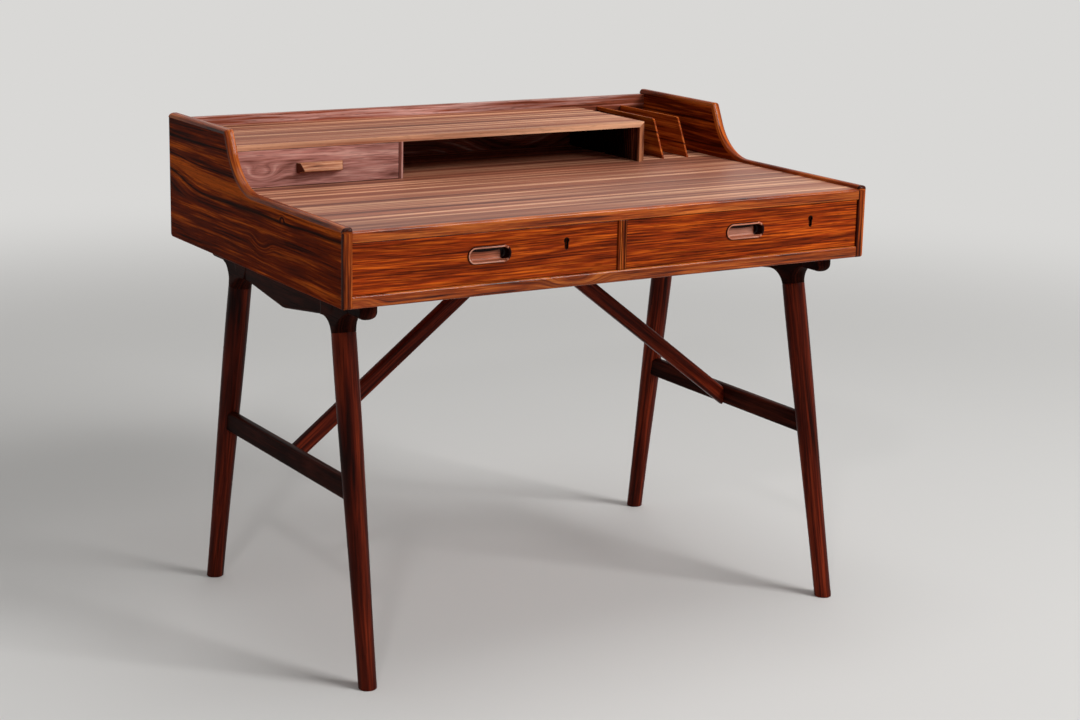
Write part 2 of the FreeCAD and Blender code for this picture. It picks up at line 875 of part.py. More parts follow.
def stretcher(side):
    """Bar between the two legs of one end, coped to them and tenoned in."""
    front = leg_point(side, FRONT, stretcher_level())
    back = leg_point(side, BACK, stretcher_level())
    half = stretcher_thickness / 2
    bar = block(front.x - half, front.x + half, front.y, back.y, stretcher_top - stretcher_height, stretcher_top)
    bar = rounded(bar, stretcher_rounding, lambda e: not lies_on(e, 1, front.y) and not lies_on(e, 1, back.y))
    bar = bar.cut([leg_blank(side, FRONT), leg_blank(side, BACK)])
    bar = bar.fuse([stretcher_tenon(side, FRONT), stretcher_tenon(side, BACK)])
    return bar.removeSplitter().cut(brace_screw_spaces(screw_clearance))


def brace_y():
    """Middle of the braces, halfway along the stretchers."""
    level = stretcher_level()
    return (leg_point(LEFT, FRONT, level).y + leg_point(LEFT, BACK, level).y) / 2


def brace_foot_x():
    return leg_point(RIGHT, FRONT, stretcher_level()).x - stretcher_thickness / 2


def brace_foot_level():
    return stretcher_level() - brace_foot_drop


def brace_slope():
    """Slope of a brace from the middle of its foot, its lower edge ending half the head gap from the middle."""
    run = brace_foot_x() - brace_head_gap / 2
    rise = case_clearance - brace_foot_level()
    return math.atan2(rise, run) + math.asin(brace_width / 2 / math.hypot(rise, run))


def brace_half_spans():
    """Half of a brace's upright cut at its foot, and half of its level cut at its head."""
    slope = brace_slope()
    return brace_width / 2 / math.cos(slope), brace_width / 2 / math.sin(slope)


def brace():
    """Right brace, from the stretcher's middle up to the case."""
    half_foot, half_head = brace_half_spans()
    level = brace_foot_level()
    inner = brace_head_gap / 2
    corners = [(brace_foot_x(), level - half_foot, 0), (brace_foot_x(), level + half_foot, 0),
               (inner + 2 * half_head, case_clearance, 0), (inner, case_clearance, 0)]
    bar = prism(corners, on_xz, brace_y() - brace_thickness / 2, brace_thickness)

    def long_edge(edge):
        at_end = lies_on(edge, 0, brace_foot_x()) or lies_on(edge, 2, case_clearance)
        across = edge.BoundBox.YLength > match_tolerance
        return not at_end and not across

    return rounded(bar, brace_rounding, long_edge).cut(brace_screw_spaces(screw_clearance))


def brace_block():
    """Block between the heads of the braces, under the case."""
    inner = brace_head_gap / 2
    spread = block_height / math.tan(brace_slope())
    corners = [(-inner - spread, case_clearance - block_height, 0), (inner + spread, case_clearance - block_height, 0),
               (inner, case_clearance, 0), (-inner, case_clearance, 0)]
    bar = prism(corners, on_xz, brace_y() - brace_thickness / 2, brace_thickness)
    return bar.cut(block_screw_spaces(screw_clearance))


def screw(seat, direction, shank, clearance):
    """Round-headed screw whose head rests at seat, or its hole when clearance is over zero."""
    head_height = screw_head_height + (overrun * 2 if clearance > 0 else 0)
    back = seat - direction * head_height
    head = Part.makeCylinder(screw_head_radius + clearance, head_height, back, direction)
    body = Part.makeCylinder(screw_shank_radius + clearance, shank + clearance, seat, direction)
    return head.fuse(body).removeSplitter()


def brace_screw_spaces(clearance):
    """Screws from the outside of each stretcher into the foot of its brace."""
    spaces = []
    for side in (LEFT, RIGHT):
        outside = side * (brace_foot_x() + stretcher_thickness)
        seat = Vector(outside - side * (screw_sink + screw_head_height), brace_y(),
                      stretcher_level() + brace_screw_rise)
        shank = stretcher_thickness - screw_sink - screw_head_height + screw_bite
        spaces.append(screw(seat, Vector(-side, 0, 0), shank, clearance))
    return spaces


def block_screw_spaces(clearance):
    """Screw up through the middle of the block into the case."""
    low = case_clearance - block_height
    seat = Vector(0, brace_y(), low + screw_sink + screw_head_height)
    return [screw(seat, Vector(0, 0, 1), case_clearance - seat.z + screw_bite, clearance)]


def rail_screw_spaces(side, clearance):
    """Screws up through an end rail into the case, either side of the rail's middle."""
    x = side * (outer_x - leg_head_inset)
    middle = (leg_ends(side, FRONT)[0].y + leg_ends(side, BACK)[0].y) / 2
    spaces = []
    for end in (FRONT, BACK):
        seat = Vector(x, middle + end * rail_screw_inset, case_clearance - rail_screw_head_depth)
        bore = screw(seat, Vector(0, 0, 1), rail_screw_head_depth + screw_bite, clearance)
        if clearance > 0:
            well = Part.makeCylinder(screw_head_radius + clearance, rail_middle_depth, seat, Vector(0, 0, -1))
            bore = bore.fuse(well).removeSplitter()
        spaces.append(bore)
    return spaces


def frame_screw_holes():
    """Holes of every screw that goes up into the case."""
    holes = block_screw_spaces(screw_clearance)
    for side in (LEFT, RIGHT):
        holes += rail_screw_spaces(side, screw_clearance)
    return holes


def grooved_side(side, wall):
    """Side of a large drawer with the groove for its runner."""
    box = large_drawer(side)
    return box_side(box, wall).cut(runner_groove(box, wall))


SIDE_NAMES = {LEFT: "left", RIGHT: "right"}
END_NAMES = {FRONT: "front", BACK: "back"}


def case_pieces():
    """Pieces of the case, by node name."""
    panel, upright, upper = side_panel(), front_edging(), top_edging()
    return {
        "left_side_panel": panel,
        "right_side_panel": mirrored(panel),
        "left_front_edging": upright,
        "right_front_edging": mirrored(upright),
        "left_top_edging": upper,
        "right_top_edging": mirrored(upper),
        "desktop_board": desktop_board(),
        "desktop_front_edging": lip(opening_top, board_thickness, lip_rounding),
        "bottom_board": bottom_board(),
        "bottom_front_edging": lip(case_clearance, bottom_board_thickness, bottom_lip_rounding),
        "centre_divider": divider(),
        "centre_stile": stile(),
        "back_panel": back_panel(),
        "back_panel_edging": back_edging(),
        "drawer_runners": Part.makeCompound(runners()),
    }


def gallery_pieces():
    """Fixed pieces of the gallery, by node name."""
    pieces = {
        "gallery_top_board": gallery_top_board(),
        "gallery_end_upright": gallery_upright(),
        "gallery_partition": partition(),
        "gallery_drawer_stop": small_stop(),
    }
    for number in range(1, slot_count):
        pieces[f"letter_divider_{number}"] = letter_divider(number)
    return pieces


def frame_pieces():
    """Pieces of the leg frame, by node name."""
    rail = end_rail()
    bar = brace()
    pieces = {"left_end_rail": rail, "right_end_rail": mirrored(rail), "right_brace": bar,
              "left_brace": mirrored(bar), "brace_block": brace_block()}
    for side, side_name in SIDE_NAMES.items():
        pieces[f"{side_name}_stretcher"] = stretcher(side)
        for end, end_name in END_NAMES.items():
            pieces[f"{end_name}_{side_name}_leg"] = leg(side, end)
    pieces["brace_screws"] = Part.makeCompound(brace_screw_spaces(0))
    case_screws = block_screw_spaces(0) + rail_screw_spaces(LEFT, 0) + rail_screw_spaces(RIGHT, 0)
    pieces["case_screws"] = Part.makeCompound(case_screws)
    return pieces


def large_drawer_pieces(side):
    """Pieces of one large drawer, by node name."""
    box = large_drawer(side)
    name = f"{SIDE_NAMES[side]}_drawer"
    return {
        f"{name}_front": drawer_front(side),
        f"{name}_left_side": grooved_side(side, LEFT),
        f"{name}_right_side": grooved_side(side, RIGHT),
        f"{name}_back": box_back(box),
        f"{name}_bottom": box_bottom(box),
        f"{name}_handle": handle(side),
        f"{name}_escutcheon": escutcheon(side),
        f"{name}_lock_case": lock_case(side),
        f"{SIDE_NAMES[side]}_lock_bolt": lock_bolt(side),
    }


def small_drawer_pieces():
    """Pieces of the gallery drawer, by node name."""
    box = small_drawer()
    return {
        "small_drawer_front": front_board(box),
        "small_drawer_left_side": box_side(box, LEFT),
        "small_drawer_right_side": box_side(box, RIGHT),
        "small_drawer_back": box_back(box),
        "small_drawer_bottom": box_bottom(box),
        "small_drawer_pull": pull(),
    }


def build():
    """Writes every piece to its own file."""
    pieces = {}
    pieces.update(case_pieces())
    pieces.update(gallery_pieces())
    pieces.update(frame_pieces())
    for side in (LEFT, RIGHT):
        pieces.update(large_drawer_pieces(side))
    pieces.update(small_drawer_pieces())
    for name, shape in pieces.items():
        shape.exportStep(f"parts/{name}.step")
        print(name, len(shape.Solids), round(shape.Volume), shape.isValid())
    return pieces


build()
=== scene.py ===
import math
from collections import namedtuple

import bmesh
import bpy
import numpy as np
from bpy.props import FloatProperty, FloatVectorProperty, PointerProperty
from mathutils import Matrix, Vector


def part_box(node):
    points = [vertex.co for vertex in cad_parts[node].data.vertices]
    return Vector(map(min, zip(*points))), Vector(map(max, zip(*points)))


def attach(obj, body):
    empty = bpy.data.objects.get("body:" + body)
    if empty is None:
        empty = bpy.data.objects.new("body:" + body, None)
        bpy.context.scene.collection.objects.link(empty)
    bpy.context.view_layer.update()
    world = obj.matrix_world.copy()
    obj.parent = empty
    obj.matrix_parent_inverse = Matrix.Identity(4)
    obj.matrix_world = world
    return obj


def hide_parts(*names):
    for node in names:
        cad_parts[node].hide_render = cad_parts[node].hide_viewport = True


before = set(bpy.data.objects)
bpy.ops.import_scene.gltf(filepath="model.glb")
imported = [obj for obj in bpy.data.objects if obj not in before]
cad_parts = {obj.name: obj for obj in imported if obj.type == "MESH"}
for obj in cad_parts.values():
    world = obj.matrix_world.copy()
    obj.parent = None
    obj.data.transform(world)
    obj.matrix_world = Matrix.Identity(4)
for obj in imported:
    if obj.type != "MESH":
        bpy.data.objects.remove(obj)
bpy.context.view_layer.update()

# Dresses a rosewood writing desk. Metres, +Z up, the sitter on the -Y side.
# Boards, drawers and locks stay the frame's own solids and get their wood or
# metal. Legs, rails, bars, edgings, handles, pull and screws are new surfaces.

bl_info = {
    "name": "Rosewood writing desk",
    "version": (1, 0, 0),
    "blender": (4, 5, 0),
    "location": "3D View > Sidebar > Desk",
    "description": "Shapes and finishes the pieces of a rosewood writing desk on its fixed frame",
    "category": "Add Mesh",
}

ROOT = "case_and_frame"
MM = 0.001
SIDES = {"left": -1, "right": 1}
ENDS = {"front": -1, "back": 1}
X_AXIS, Y_AXIS, Z_AXIS = np.eye(3)

# Faces of the case that the new pieces are set against
CASE_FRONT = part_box("left_front_edging")[0][1]
CASE_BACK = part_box("back_panel")[1][1]
CASE_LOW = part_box("bottom_board")[0][2]
OUTER_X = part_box("right_side_panel")[1][0]
OVERALL_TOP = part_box("left_top_edging")[1][2]
DESK_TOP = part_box("desktop_board")[1][2]
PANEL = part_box("left_side_panel")[1][0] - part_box("left_side_panel")[0][0]

# Places of a leg's joint, belly, middle and foot along it, and the easing of its
# hidden top edge, in mm down and mm in
LEG_SHARES = (0.0, 0.14, 0.57, 1.0)
LEG_TOP = np.array([[0.0, 0.8], [0.35, 0.25]])
# Exponent of the curve that rounds a rail's section, and how softly its lower
# edge, its cheeks and its faces pass into a leg head
RAIL_FULLNESS = 2.4
EDGE_BLEND = 4 * MM
CHEEK_BLEND = 5 * MM
HEAD_BLEND = 2 * MM
# Length over which the lean of a rail's columns fades past a leg and at the
# rail's end, as a share of the leg head's reach
LEAN_FADE = 1.1
LEAN_END = 0.6
# Half width and depth of a screw's slot as shares of the head, and its turn
SLOT_HALF_WIDTH = 0.13
SLOT_DEPTH = 0.42
SLOT_TURN = math.radians(35)
# Bends sharper than this stay sharp on new surfaces, or are eased on boards
SHARP_BEND = math.radians(38)
EASED_BEND = math.radians(50)
# Half the width of the studio's floor in metres
STUDIO_REACH = 40.0


def linear(code):
    """sRGB hex colour as linear red, green, blue and alpha."""
    share = np.array([int(code[i:i + 2], 16) for i in (1, 3, 5)]) / 255
    low = share / 12.92
    high = ((share + 0.055) / 1.055) ** 2.4
    return tuple(float(c) for c in np.where(share <= 0.04045, low, high)) + (1.0,)


def length(name, description, millimetres):
    """Length property, given in millimetres."""
    return FloatProperty(name=name, description=description, default=millimetres * MM, min=0.0,
                         unit="LENGTH", subtype="DISTANCE")


def tint(name, description, code):
    """Colour property, given as an sRGB hex colour."""
    return FloatVectorProperty(name=name, description=description, default=linear(code), size=4,
                               min=0.0, max=1.0, subtype="COLOR")


class DeskSizes(bpy.types.PropertyGroup):
    """Sizes of the pieces that are shaped here."""

    leg_head_inset: length("Leg head inset", "From the case's side to a leg's axis at its top", 60.0)
    foot_inset: length("Foot inset", "From the case's side to the middle of a foot", 45.0)
    front_foot_setback: length("Front foot setback", "From the case's front to a front foot's middle", 6.0)
    front_splay: length("Front splay", "How far a front leg reaches forward from head to foot", 125.0)
    back_foot_setback: length("Back foot setback", "From the case's back to a back foot's middle", 71.0)
    back_splay: length("Back splay", "How far a back leg reaches back from head to foot", 109.0)
    joint_drop: length("Joint drop", "From the case down to the joint of leg and end rail", 63.0)
    joint_radius: length("Joint radius", "Radius of a leg at its joint", 20.0)
    belly_radius: length("Belly radius", "Largest radius of a leg, a little below the joint", 20.1)
    middle_radius: length("Middle radius", "Radius of a leg a little below its middle", 17.4)
    foot_radius: length("Foot radius", "Radius of a foot", 15.05)
    foot_rim: length("Foot rim", "Rounding of a foot's rim", 2.0)
    rail_width: length("Rail width", "Width of an end rail", 30.0)
    nub_height: length("Nub height", "Height of a rail's end past the leg", 28.0)
    front_nub_setback: length("Front nub setback", "From the case's front to the rail's front end", 28.0)
    back_nub_setback: length("Back nub setback", "From the case's back to the rail's back end", 69.0)
    nub_corner: length("Nub corner", "Corner radius of a rail's end in side view", 14.0)
    rail_rounding: length("Rail rounding", "Rounding of a rail's lower edges", 9.0)
    rail_end_depth: length("Rail end depth", "Depth of a rail beside a leg", 40.0)
    rail_middle_depth: length("Rail middle depth", "Depth of a rail halfway between its legs", 64.0)
    cove_radius: length("Cove radius", "Radius of the hollow between leg and rail", 30.0)
    cheek: length("Cheek", "Half width of a leg head at the joint", 20.6)
    stretcher_top: length("Stretcher top", "Height of a stretcher's upper face", 325.0)
    stretcher_height: length("Stretcher height", "Height of a stretcher's section", 36.0)
    stretcher_thickness: length("Stretcher thickness", "Thickness of a stretcher's section", 20.0)
    stretcher_rounding: length("Stretcher rounding", "Rounding of a stretcher's edges", 7.0)
    brace_width: length("Brace width", "Width of a brace's face", 28.0)
    brace_thickness: length("Brace thickness", "Thickness of a brace", 18.0)
    brace_rounding: length("Brace rounding", "Rounding of a brace's edges", 6.0)
    brace_head_spread: length("Brace head spread", "From the desk's middle to a brace head's middle", 32.96)
    brace_foot_drop: length("Brace foot drop", "From the stretcher's middle down to the brace's", 2.0)
    arm_rise: length("Arm rise", "From the desktop up to the top of a side's arm", 6.5)
    arm_corner: length("Arm corner", "Corner radius of an arm's front end", 5.0)
    swoop_radius: length("Swoop radius", "Radius of the curve between arm and gallery side", 100.0)
    swoop_run: length("Swoop run", "How far the gallery side's front leans back", 44.0)
    gallery_side_depth: length("Gallery side depth", "Length of the gallery side's top", 247.5)
    top_corner: length("Top corner", "Corner radius of a gallery side's top", 6.0)
    edge_strip: length("Edge strip", "Depth of the solid edging", 8.0)
    outer_arris: length("Outer arris", "How far the side edgings' outer rounding reaches across", 9.0)
    outer_fall: length("Outer fall", "How far the side edgings' outer rounding falls back", 5.0)
    inner_arris: length("Inner arris", "Rounding of the side edgings' inner edge", 3.5)
    handle_ring: length("Handle ring", "Width of the ring of an oval handle", 3.6)
    handle_proud: length("Handle proud", "How far the ring stands out of the drawer", 2.5)
    handle_depth: length("Handle depth", "Depth of the handle's hollow behind the drawer's face", 12.5)
    handle_cup: length("Handle cup", "Rounding at the bottom of the handle's hollow", 3.5)
    pull_top: length("Pull top", "Depth of the pull's flat top", 8.0)
    pull_lip_rise: length("Pull lip rise", "From the pull's foot up to the top of its lip", 5.6)
    pull_lip: length("Pull lip", "Thickness of the pull's lip", 2.5)
    pull_root: length("Pull root", "Depth of the pull's foot", 4.0)
    pull_hollow: length("Pull hollow", "Depth of the finger hollow under the pull", 2.0)
    pull_end_run: length("Pull end run", "How far each end of the pull runs in towards its lip", 8.0)
    lip_arris: length("Lip arris", "Rounding of the upper edge of the board edgings", 3.5)
    desktop_lip_foot: length("Desktop lip foot", "Rounding of the desktop edging's lower edge", 2.0)
    bottom_lip_foot: length("Bottom lip foot", "Rounding of the bottom edging's lower edge", 4.0)
    end_grain: length("End grain", "How far the pull's end grain lies from its face grain in the log", 100.0)
    screw_radius: length("Screw radius", "Radius of a screw's head", 4.5)
    screw_height: length("Screw height", "Height of a screw's head", 3.0)
    screw_sink: length("Screw sink", "How deep a screw's head sits in the stretcher", 1.0)
    eased_edge: length("Eased edge", "Rounding of the sharp edges of boards and drawers", 0.6)


# The three tones of a wood, and the level of noise at which each stands
TONES = {"dark": 0.36, "middle": 0.5, "light": 0.64}

# What wears each wood, and its dark, middle and light tone
WOOD_TONES = {
    "front": ("drawer fronts", "#4e1806", "#8e310a", "#c85a16"),
    "side": ("sides", "#2c0b04", "#702407", "#c65a1a"),
    "top": ("desktop and gallery top", "#623426", "#9a5c44", "#e4ae8a"),
    "small": ("small drawer's front and the partition", "#703e34", "#b0766c", "#cc9a8e"),
    "back": ("back panel", "#42180c", "#8c4834", "#c89a90"),
    "upright": ("gallery's end upright", "#140604", "#5a2c1e", "#b0704e"),
    "edging": ("solid edgings", "#3c1206", "#923b0e", "#c46626"),
    "frame": ("legs and braces", "#200704", "#4e160a", "#7a2c16"),
    "rail": ("rails and stretchers", "#120504", "#2a0e08", "#481c12"),
    "handle": ("oval handles", "#220a06", "#b86a4c", "#c88c76"),
    "pull": ("wedge pull", "#5a2a1c", "#b07050", "#deaa84"),
    "box": ("drawer boxes", "#8a5a36", "#b0804f", "#cba172"),
}


class DeskColours(bpy.types.PropertyGroup):
    """Colours of the veins, the metals and the floor. The loop below adds three tones of each wood."""

    vein: tint("Vein", "Black lines in the rosewood", "#120402")
    brass: tint("Brass", "Lock cases and bolts", "#8a6a35")
    bronze: tint("Bronze", "Keyhole linings, blackened with age", "#1d1612")
    steel: tint("Steel", "Screws", "#9a9894")
    floor: tint("Floor", "Studio floor and background", "#d9d8d6")


for wood_name, (wearer, *codes) in WOOD_TONES.items():
    for tone_name, code in zip(TONES, codes):
        DeskColours.__annotations__[f"{wood_name}_{tone_name}"] = tint(
            f"{wood_name.capitalize()}, {tone_name}", f"{tone_name.capitalize()} tone of the {wearer}", code)


class DeskStudio(bpy.types.PropertyGroup):
    """Camera and lights of the plain studio."""

    camera_place: FloatVectorProperty(
        name="Camera place", description="Where the camera stands", size=3,
        default=(-1.9313, -3.2254, 1.3274), subtype="TRANSLATION", unit="LENGTH")
    camera_turn: FloatVectorProperty(
        name="Camera turn", description="Heading, pitch and roll of the camera", size=3,
        default=(math.radians(-31.628), math.radians(-13.629), math.radians(1.227)), subtype="EULER")
    camera_lens: FloatProperty(
        name="Lens", description="Focal length on a 36 mm wide sensor, in mm", default=72.32)
    key_level: FloatProperty(
        name="Key light", description="Share of full light that the key light gives", default=0.75)
    top_level: FloatProperty(
        name="Overhead light", description="Share of full light from overhead", default=0.4)
    fill_level: FloatProperty(
        name="Fill light", description="Share of full light that the fill gives", default=0.09)
    ambient_level: FloatProperty(
        name="Ambient light", description="Light from all around", default=0.25)


def add(tree, kind, inputs=None, stops=(), **settings):
    """Adds a shader node with its settings. A value in inputs sets its socket.

    An output among them, or the first output of a node, is linked to the socket.
    """
    node = tree.nodes.new(f"ShaderNode{kind}")
    for key, value in settings.items():
        setattr(node, key, value)
    for key, value in (inputs or {}).items():
        if isinstance(value, bpy.types.Node):
            value = value.outputs[0]
        if isinstance(value, bpy.types.NodeSocket):
            tree.links.new(value, node.inputs[key])
        else:
            node.inputs[key].default_value = value
    for place, (position, colour) in enumerate(stops):
        spare = len(node.color_ramp.elements)
        stop = node.color_ramp.elements[place] if place < spare else node.color_ramp.elements.new(position)
        stop.position = position
        stop.color = colour
    return node


# How one wood looks, in millimetres: spacing of its colour bands and of the fine
# lines in them, the length over which both change, the share of fine lines,
# spacing and share of its black veins, how far its growth lines wander and over
# what length and width, shares of streak and pore, then roughness, lacquer coat
# and strength of gloss.
Wood = namedtuple("Wood", "colours band fine_band reach fine vein_spacing vein_share warp warp_length "
                  "warp_width streak pore roughness coat specular")

# Which way a piece was cut from the log: turn of its grain onto X, the log's
# heart across the grain, and a shift that gives it its own place in the log.
# A knot is a place along, across and deep, its length, width and lift. A placed
# vein, or a light or dark zone, is a ring, a width and a share.
Cut = namedtuple("Cut", "turn heart shift knots veins zones", defaults=((0.0, 0.0, 0.0), (), (), ()))

ALONG_X = (0.0, 0.0, 0.0)
ALONG_Y = (0.0, 0.0, -math.pi / 2)
ALONG_Z = (0.0, math.pi / 2, 0.0)

# Quarter-cut rosewood veneer, satin lacquered: short flame-like streaks in orange and brown
FRONT_VENEER = Wood("front", 15.0, 2.2, 240.0, 1.7, 30.0, 0.3, 5.0, 320.0, 40.0, 0.5, 0.45, 0.36, 0.06, 0.03)
# Plain-cut rosewood veneer from near the heart: wide wandering figure with black veins
SIDE_VENEER = Wood("side", 18.0, 4.0, 380.0, 0.7, 40.0, 0.2, 7.0, 260.0, 60.0, 0.3, 0.45, 0.34, 0.0, 0.005)
# Quarter-cut rosewood veneer, oiled and worn matt: even parallel stripes
TOP_VENEER = Wood("top", 20.0, 5.0, 1500.0, 0.35, 60.0, 0.0, 4.0, 900.0, 60.0, 0.16, 0.3, 0.42, 0.0, 0.25)
# The same on the gallery, with narrower stripes and little gloss
GALLERY_VENEER = TOP_VENEER._replace(band=13.0, fine_band=3.6, fine=0.3, specular=0.03)
# Rosewood veneer with a swirl, satin lacquered
SMALL_VENEER = Wood("small", 14.0, 4.0, 160.0, 0.8, 30.0, 0.25, 8.0, 160.0, 40.0, 0.24, 0.3, 0.4, 0.0, 0.15)
# The same on the gallery's partition, cut straight. Its cut darkens the left part of its front edge as a
# painted shadow of the gap
PARTITION = SMALL_VENEER._replace(warp=0.3)
# Rosewood veneer of the back panel: reddish brown. Its cut lightens a strip along the top as a painted sheen
BACK_VENEER = SIDE_VENEER._replace(colours="back", warp=4.0, specular=0.05)
# Solid rosewood edging, planed and lacquered: straight grain and a clear gloss
EDGING = Wood("edging", 8.0, 2.6, 220.0, 1.0, 16.0, 0.3, 3.0, 260.0, 20.0, 0.3, 0.35, 0.24, 0.16, 0.02)
# The same on the board edgings, cut straighter
LIP = EDGING._replace(warp=1.0, coat=0.35)
# The same on the stile between the drawers, with less lacquer
STILE = LIP._replace(warp=0.3, coat=0.1)
# The same on the gallery's end upright, in dark tones that are painted shade inside the gallery
SHADED_UPRIGHT = STILE._replace(colours="upright")
# Solid rosewood sawn thin for the letter dividers, with a quiet grain
THIN = EDGING._replace(fine=0.5, vein_share=0.0, streak=0.2, coat=0.0)
# Solid rosewood, turned or planed and oiled: dark, close and straight
FRAME = Wood("frame", 9.0, 3.0, 400.0, 0.8, 14.0, 0.4, 4.0, 300.0, 18.0, 0.3, 0.4, 0.3, 0.0, 0.05)
# The same wood in darker tones, for rails and stretchers
RAIL = FRAME._replace(colours="rail", specular=0.01)
# Solid rosewood cup, turned and lacquered
HANDLE = Wood("handle", 6.0, 2.5, 400.0, 0.8, 11.0, 0.0, 0.5, 90.0, 12.0, 0.4, 0.3, 0.26, 0.14, 0.02)
# Solid sapwood-pale rosewood, planed and oiled
PULL = Wood("pull", 6.0, 2.5, 120.0, 0.8, 20.0, 0.0, 3.0, 90.0, 10.0, 0.2, 0.3, 0.36, 0.0, 0.12)
# Solid oak-like drawer wood, planed and waxed: plain, pale and fine
DRAWER_WOOD = Wood("box", 12.0, 3.0, 500.0, 0.8, 40.0, 0.0, 5.0, 300.0, 30.0, 0.2, 0.35, 0.5, 0.0, 0.25)

# Length and width of each noise in mm, and its detail. Real pores are 0.2 mm
# wide and are drawn coarser, so that they show.
NOISES = {"drift": (500.0, 120.0, 2.0), "streak": (110.0, 1.8, 3.0), "pore": (24.0, 1.5, 1.0),
          "mask": (260.0, 40.0, 1.0)}

# Levels of noise between which each effect grows
SPREAD = {"From Min": 0.3, "From Max": 0.7}
PORES = {"From Min": 0.6, "From Max": 0.72}
VEIN_RISE = {"From Min": 0.4, "From Max": 0.5}
VEIN_END = {"From Min": 0.5, "From Max": 0.515}
VEIN_SHOWN = {"From Min": 0.4, "From Max": 0.58}
VEIN_SWELL = {"From Min": 0.3, "From Max": 0.65}

# How far roughness spreads below and above its mean, and the brightness of
# metal where it is most and least tarnished
WOOD_GLOSS = (-0.04, 0.08)
METAL_GLOSS = (-0.08, 0.12)
TARNISH = (0.55, 1.1)

# Length in mm over which a noise vein changes, how far in mm streaks fray a
# placed vein, the share of its width where it is thinnest, the share of a
# zone's width that has its full tone, and how far drift changes the brightness
VEIN_REACH = 900.0
VEIN_FRAY = 2.5
VEIN_THINNEST = 0.3
ZONE_CORE = 0.3
DRIFT = 0.24


def blank_material(name):
    """New material and its emptied node tree."""
    material = bpy.data.materials.new(name)
    material.use_nodes = True
    material.node_tree.nodes.clear()
    return material, material.node_tree


def stretched_noises(tree, place, layers):
    """Noise fields drawn out along the grain, one for each length, width and detail."""
    noise = {}
    for key, (along, across, detail) in layers.items():
        stretched = add(tree, "Mapping", {"Vector": place, "Scale": (1 / along, 1 / across, 1 / across)})
        noise[key] = add(tree, "TexNoise", {"Vector": stretched, "Scale": 1.0, "Detail": detail,
                                            "Roughness": 0.55})
    return noise


def ring_at(tree, place, wood, cut, warp):
    """Distance from the log's heart across the grain, moved by the warp and lifted round each knot."""
    from_heart = (0.0, -cut.heart[0], -cut.heart[1])
    centred = add(tree, "Mapping", {"Vector": place, "Location": from_heart, "Scale": (0.0, 1.0, 1.0)})
    ring = add(tree, "VectorMath", {0: centred}, operation="LENGTH").outputs["Value"]
    ring = add(tree, "Math", {0: warp, 1: wood.warp * 2, 2: ring}, operation="MULTIPLY_ADD")
    for along, across, depth, reach, width, lift in cut.knots:
        near = add(tree, "Mapping", {
            "Vector": place, "Location": (-along / reach, -across / width, -depth / width),
            "Scale": (1 / reach, 1 / width, 1 / width)})
        away = add(tree, "VectorMath", {0: near}, operation="LENGTH").outputs["Value"]
        rise = add(tree, "MapRange", {"Value": away, "To Min": lift, "To Max": 0.0},
                   interpolation_type="SMOOTHERSTEP")
        ring = add(tree, "Math", {0: ring, 1: rise}, operation="ADD")
    return ring


def growth_lines(tree, place, ring, wood):
    """Noise over the ring that changes slowly along the grain: bands, fine lines and veins."""
    walked = add(tree, "SeparateXYZ", {0: place})
    flat = add(tree, "CombineXYZ", {"X": walked, "Y": ring})
    patterns = {"band": (wood.band, wood.reach, 4.0), "fine": (wood.fine_band, wood.reach / 3, 2.0),
                "vein": (wood.vein_spacing, VEIN_REACH, 0.0)}
    lines = {}
    for key, (spacing, reach, detail) in patterns.items():
        spread = add(tree, "Mapping", {"Vector": flat, "Location": (0.0, 0.0, spacing),
                                       "Scale": (1 / reach, 1 / spacing, 1.0)})
        lines[key] = add(tree, "TexNoise", {"Vector": spread, "Scale": 1.0, "Detail": detail})
    return lines


def near_level(tree, value, level, full, reach, share):
    """A share that is whole where a value lies within full of a level, and fades to nothing at reach."""
    off = add(tree, "Math", {0: value, 1: level}, operation="SUBTRACT")
    off = add(tree, "Math", {0: off}, operation="ABSOLUTE")
    return add(tree, "MapRange", {"Value": off, "From Min": full, "From Max": reach, "To Min": share,
                                  "To Max": 0.0}, interpolation_type="SMOOTHSTEP")


def tone_of(tree, lines, ring, wood, cut):
    """Tone of the wood: bands with fine lines in them, made lighter or darker in the zones."""
    tone = add(tree, "Mix", {0: wood.fine / (1 + wood.fine), 2: lines["band"], 3: lines["fine"]})
    for level, width, share in cut.zones:
        rise = near_level(tree, ring, level, ZONE_CORE * width, width, share)
        tone = add(tree, "Math", {0: tone, 1: rise}, operation="ADD")
    return tone


def vein_of(tree, lines, noise, ring, wood, cut):
    """Share of black vein.

    A noise vein darkens slowly to its edge, ends sharply and is broken up by the mask. A placed vein follows
    its ring, frayed by the streaks, and swells and thins with the mask.
    """
    rising = add(tree, "MapRange", VEIN_RISE | {"Value": lines["vein"], "To Min": 0.0,
                                                "To Max": wood.vein_share}, interpolation_type="SMOOTHSTEP")
    ending = add(tree, "MapRange", VEIN_END | {"Value": lines["vein"], "To Min": 1.0, "To Max": 0.0})
    shown = add(tree, "MapRange", VEIN_SHOWN | {"Value": noise["mask"]})
    vein = add(tree, "Math", {0: rising, 1: ending}, operation="MULTIPLY")
    vein = add(tree, "Math", {0: vein, 1: shown}, operation="MULTIPLY")
    frayed = add(tree, "Math", {0: noise["streak"], 1: 2 * VEIN_FRAY, 2: ring}, operation="MULTIPLY_ADD")
    for level, width, share in cut.veins:
        swelling = add(tree, "MapRange", VEIN_SWELL | {
            "Value": noise["mask"], "To Min": VEIN_THINNEST * width, "To Max": width})
        placed = near_level(tree, frayed, level + VEIN_FRAY, 0.0, swelling, share)
        vein = add(tree, "Math", {0: vein, 1: placed}, operation="MAXIMUM")
    return vein


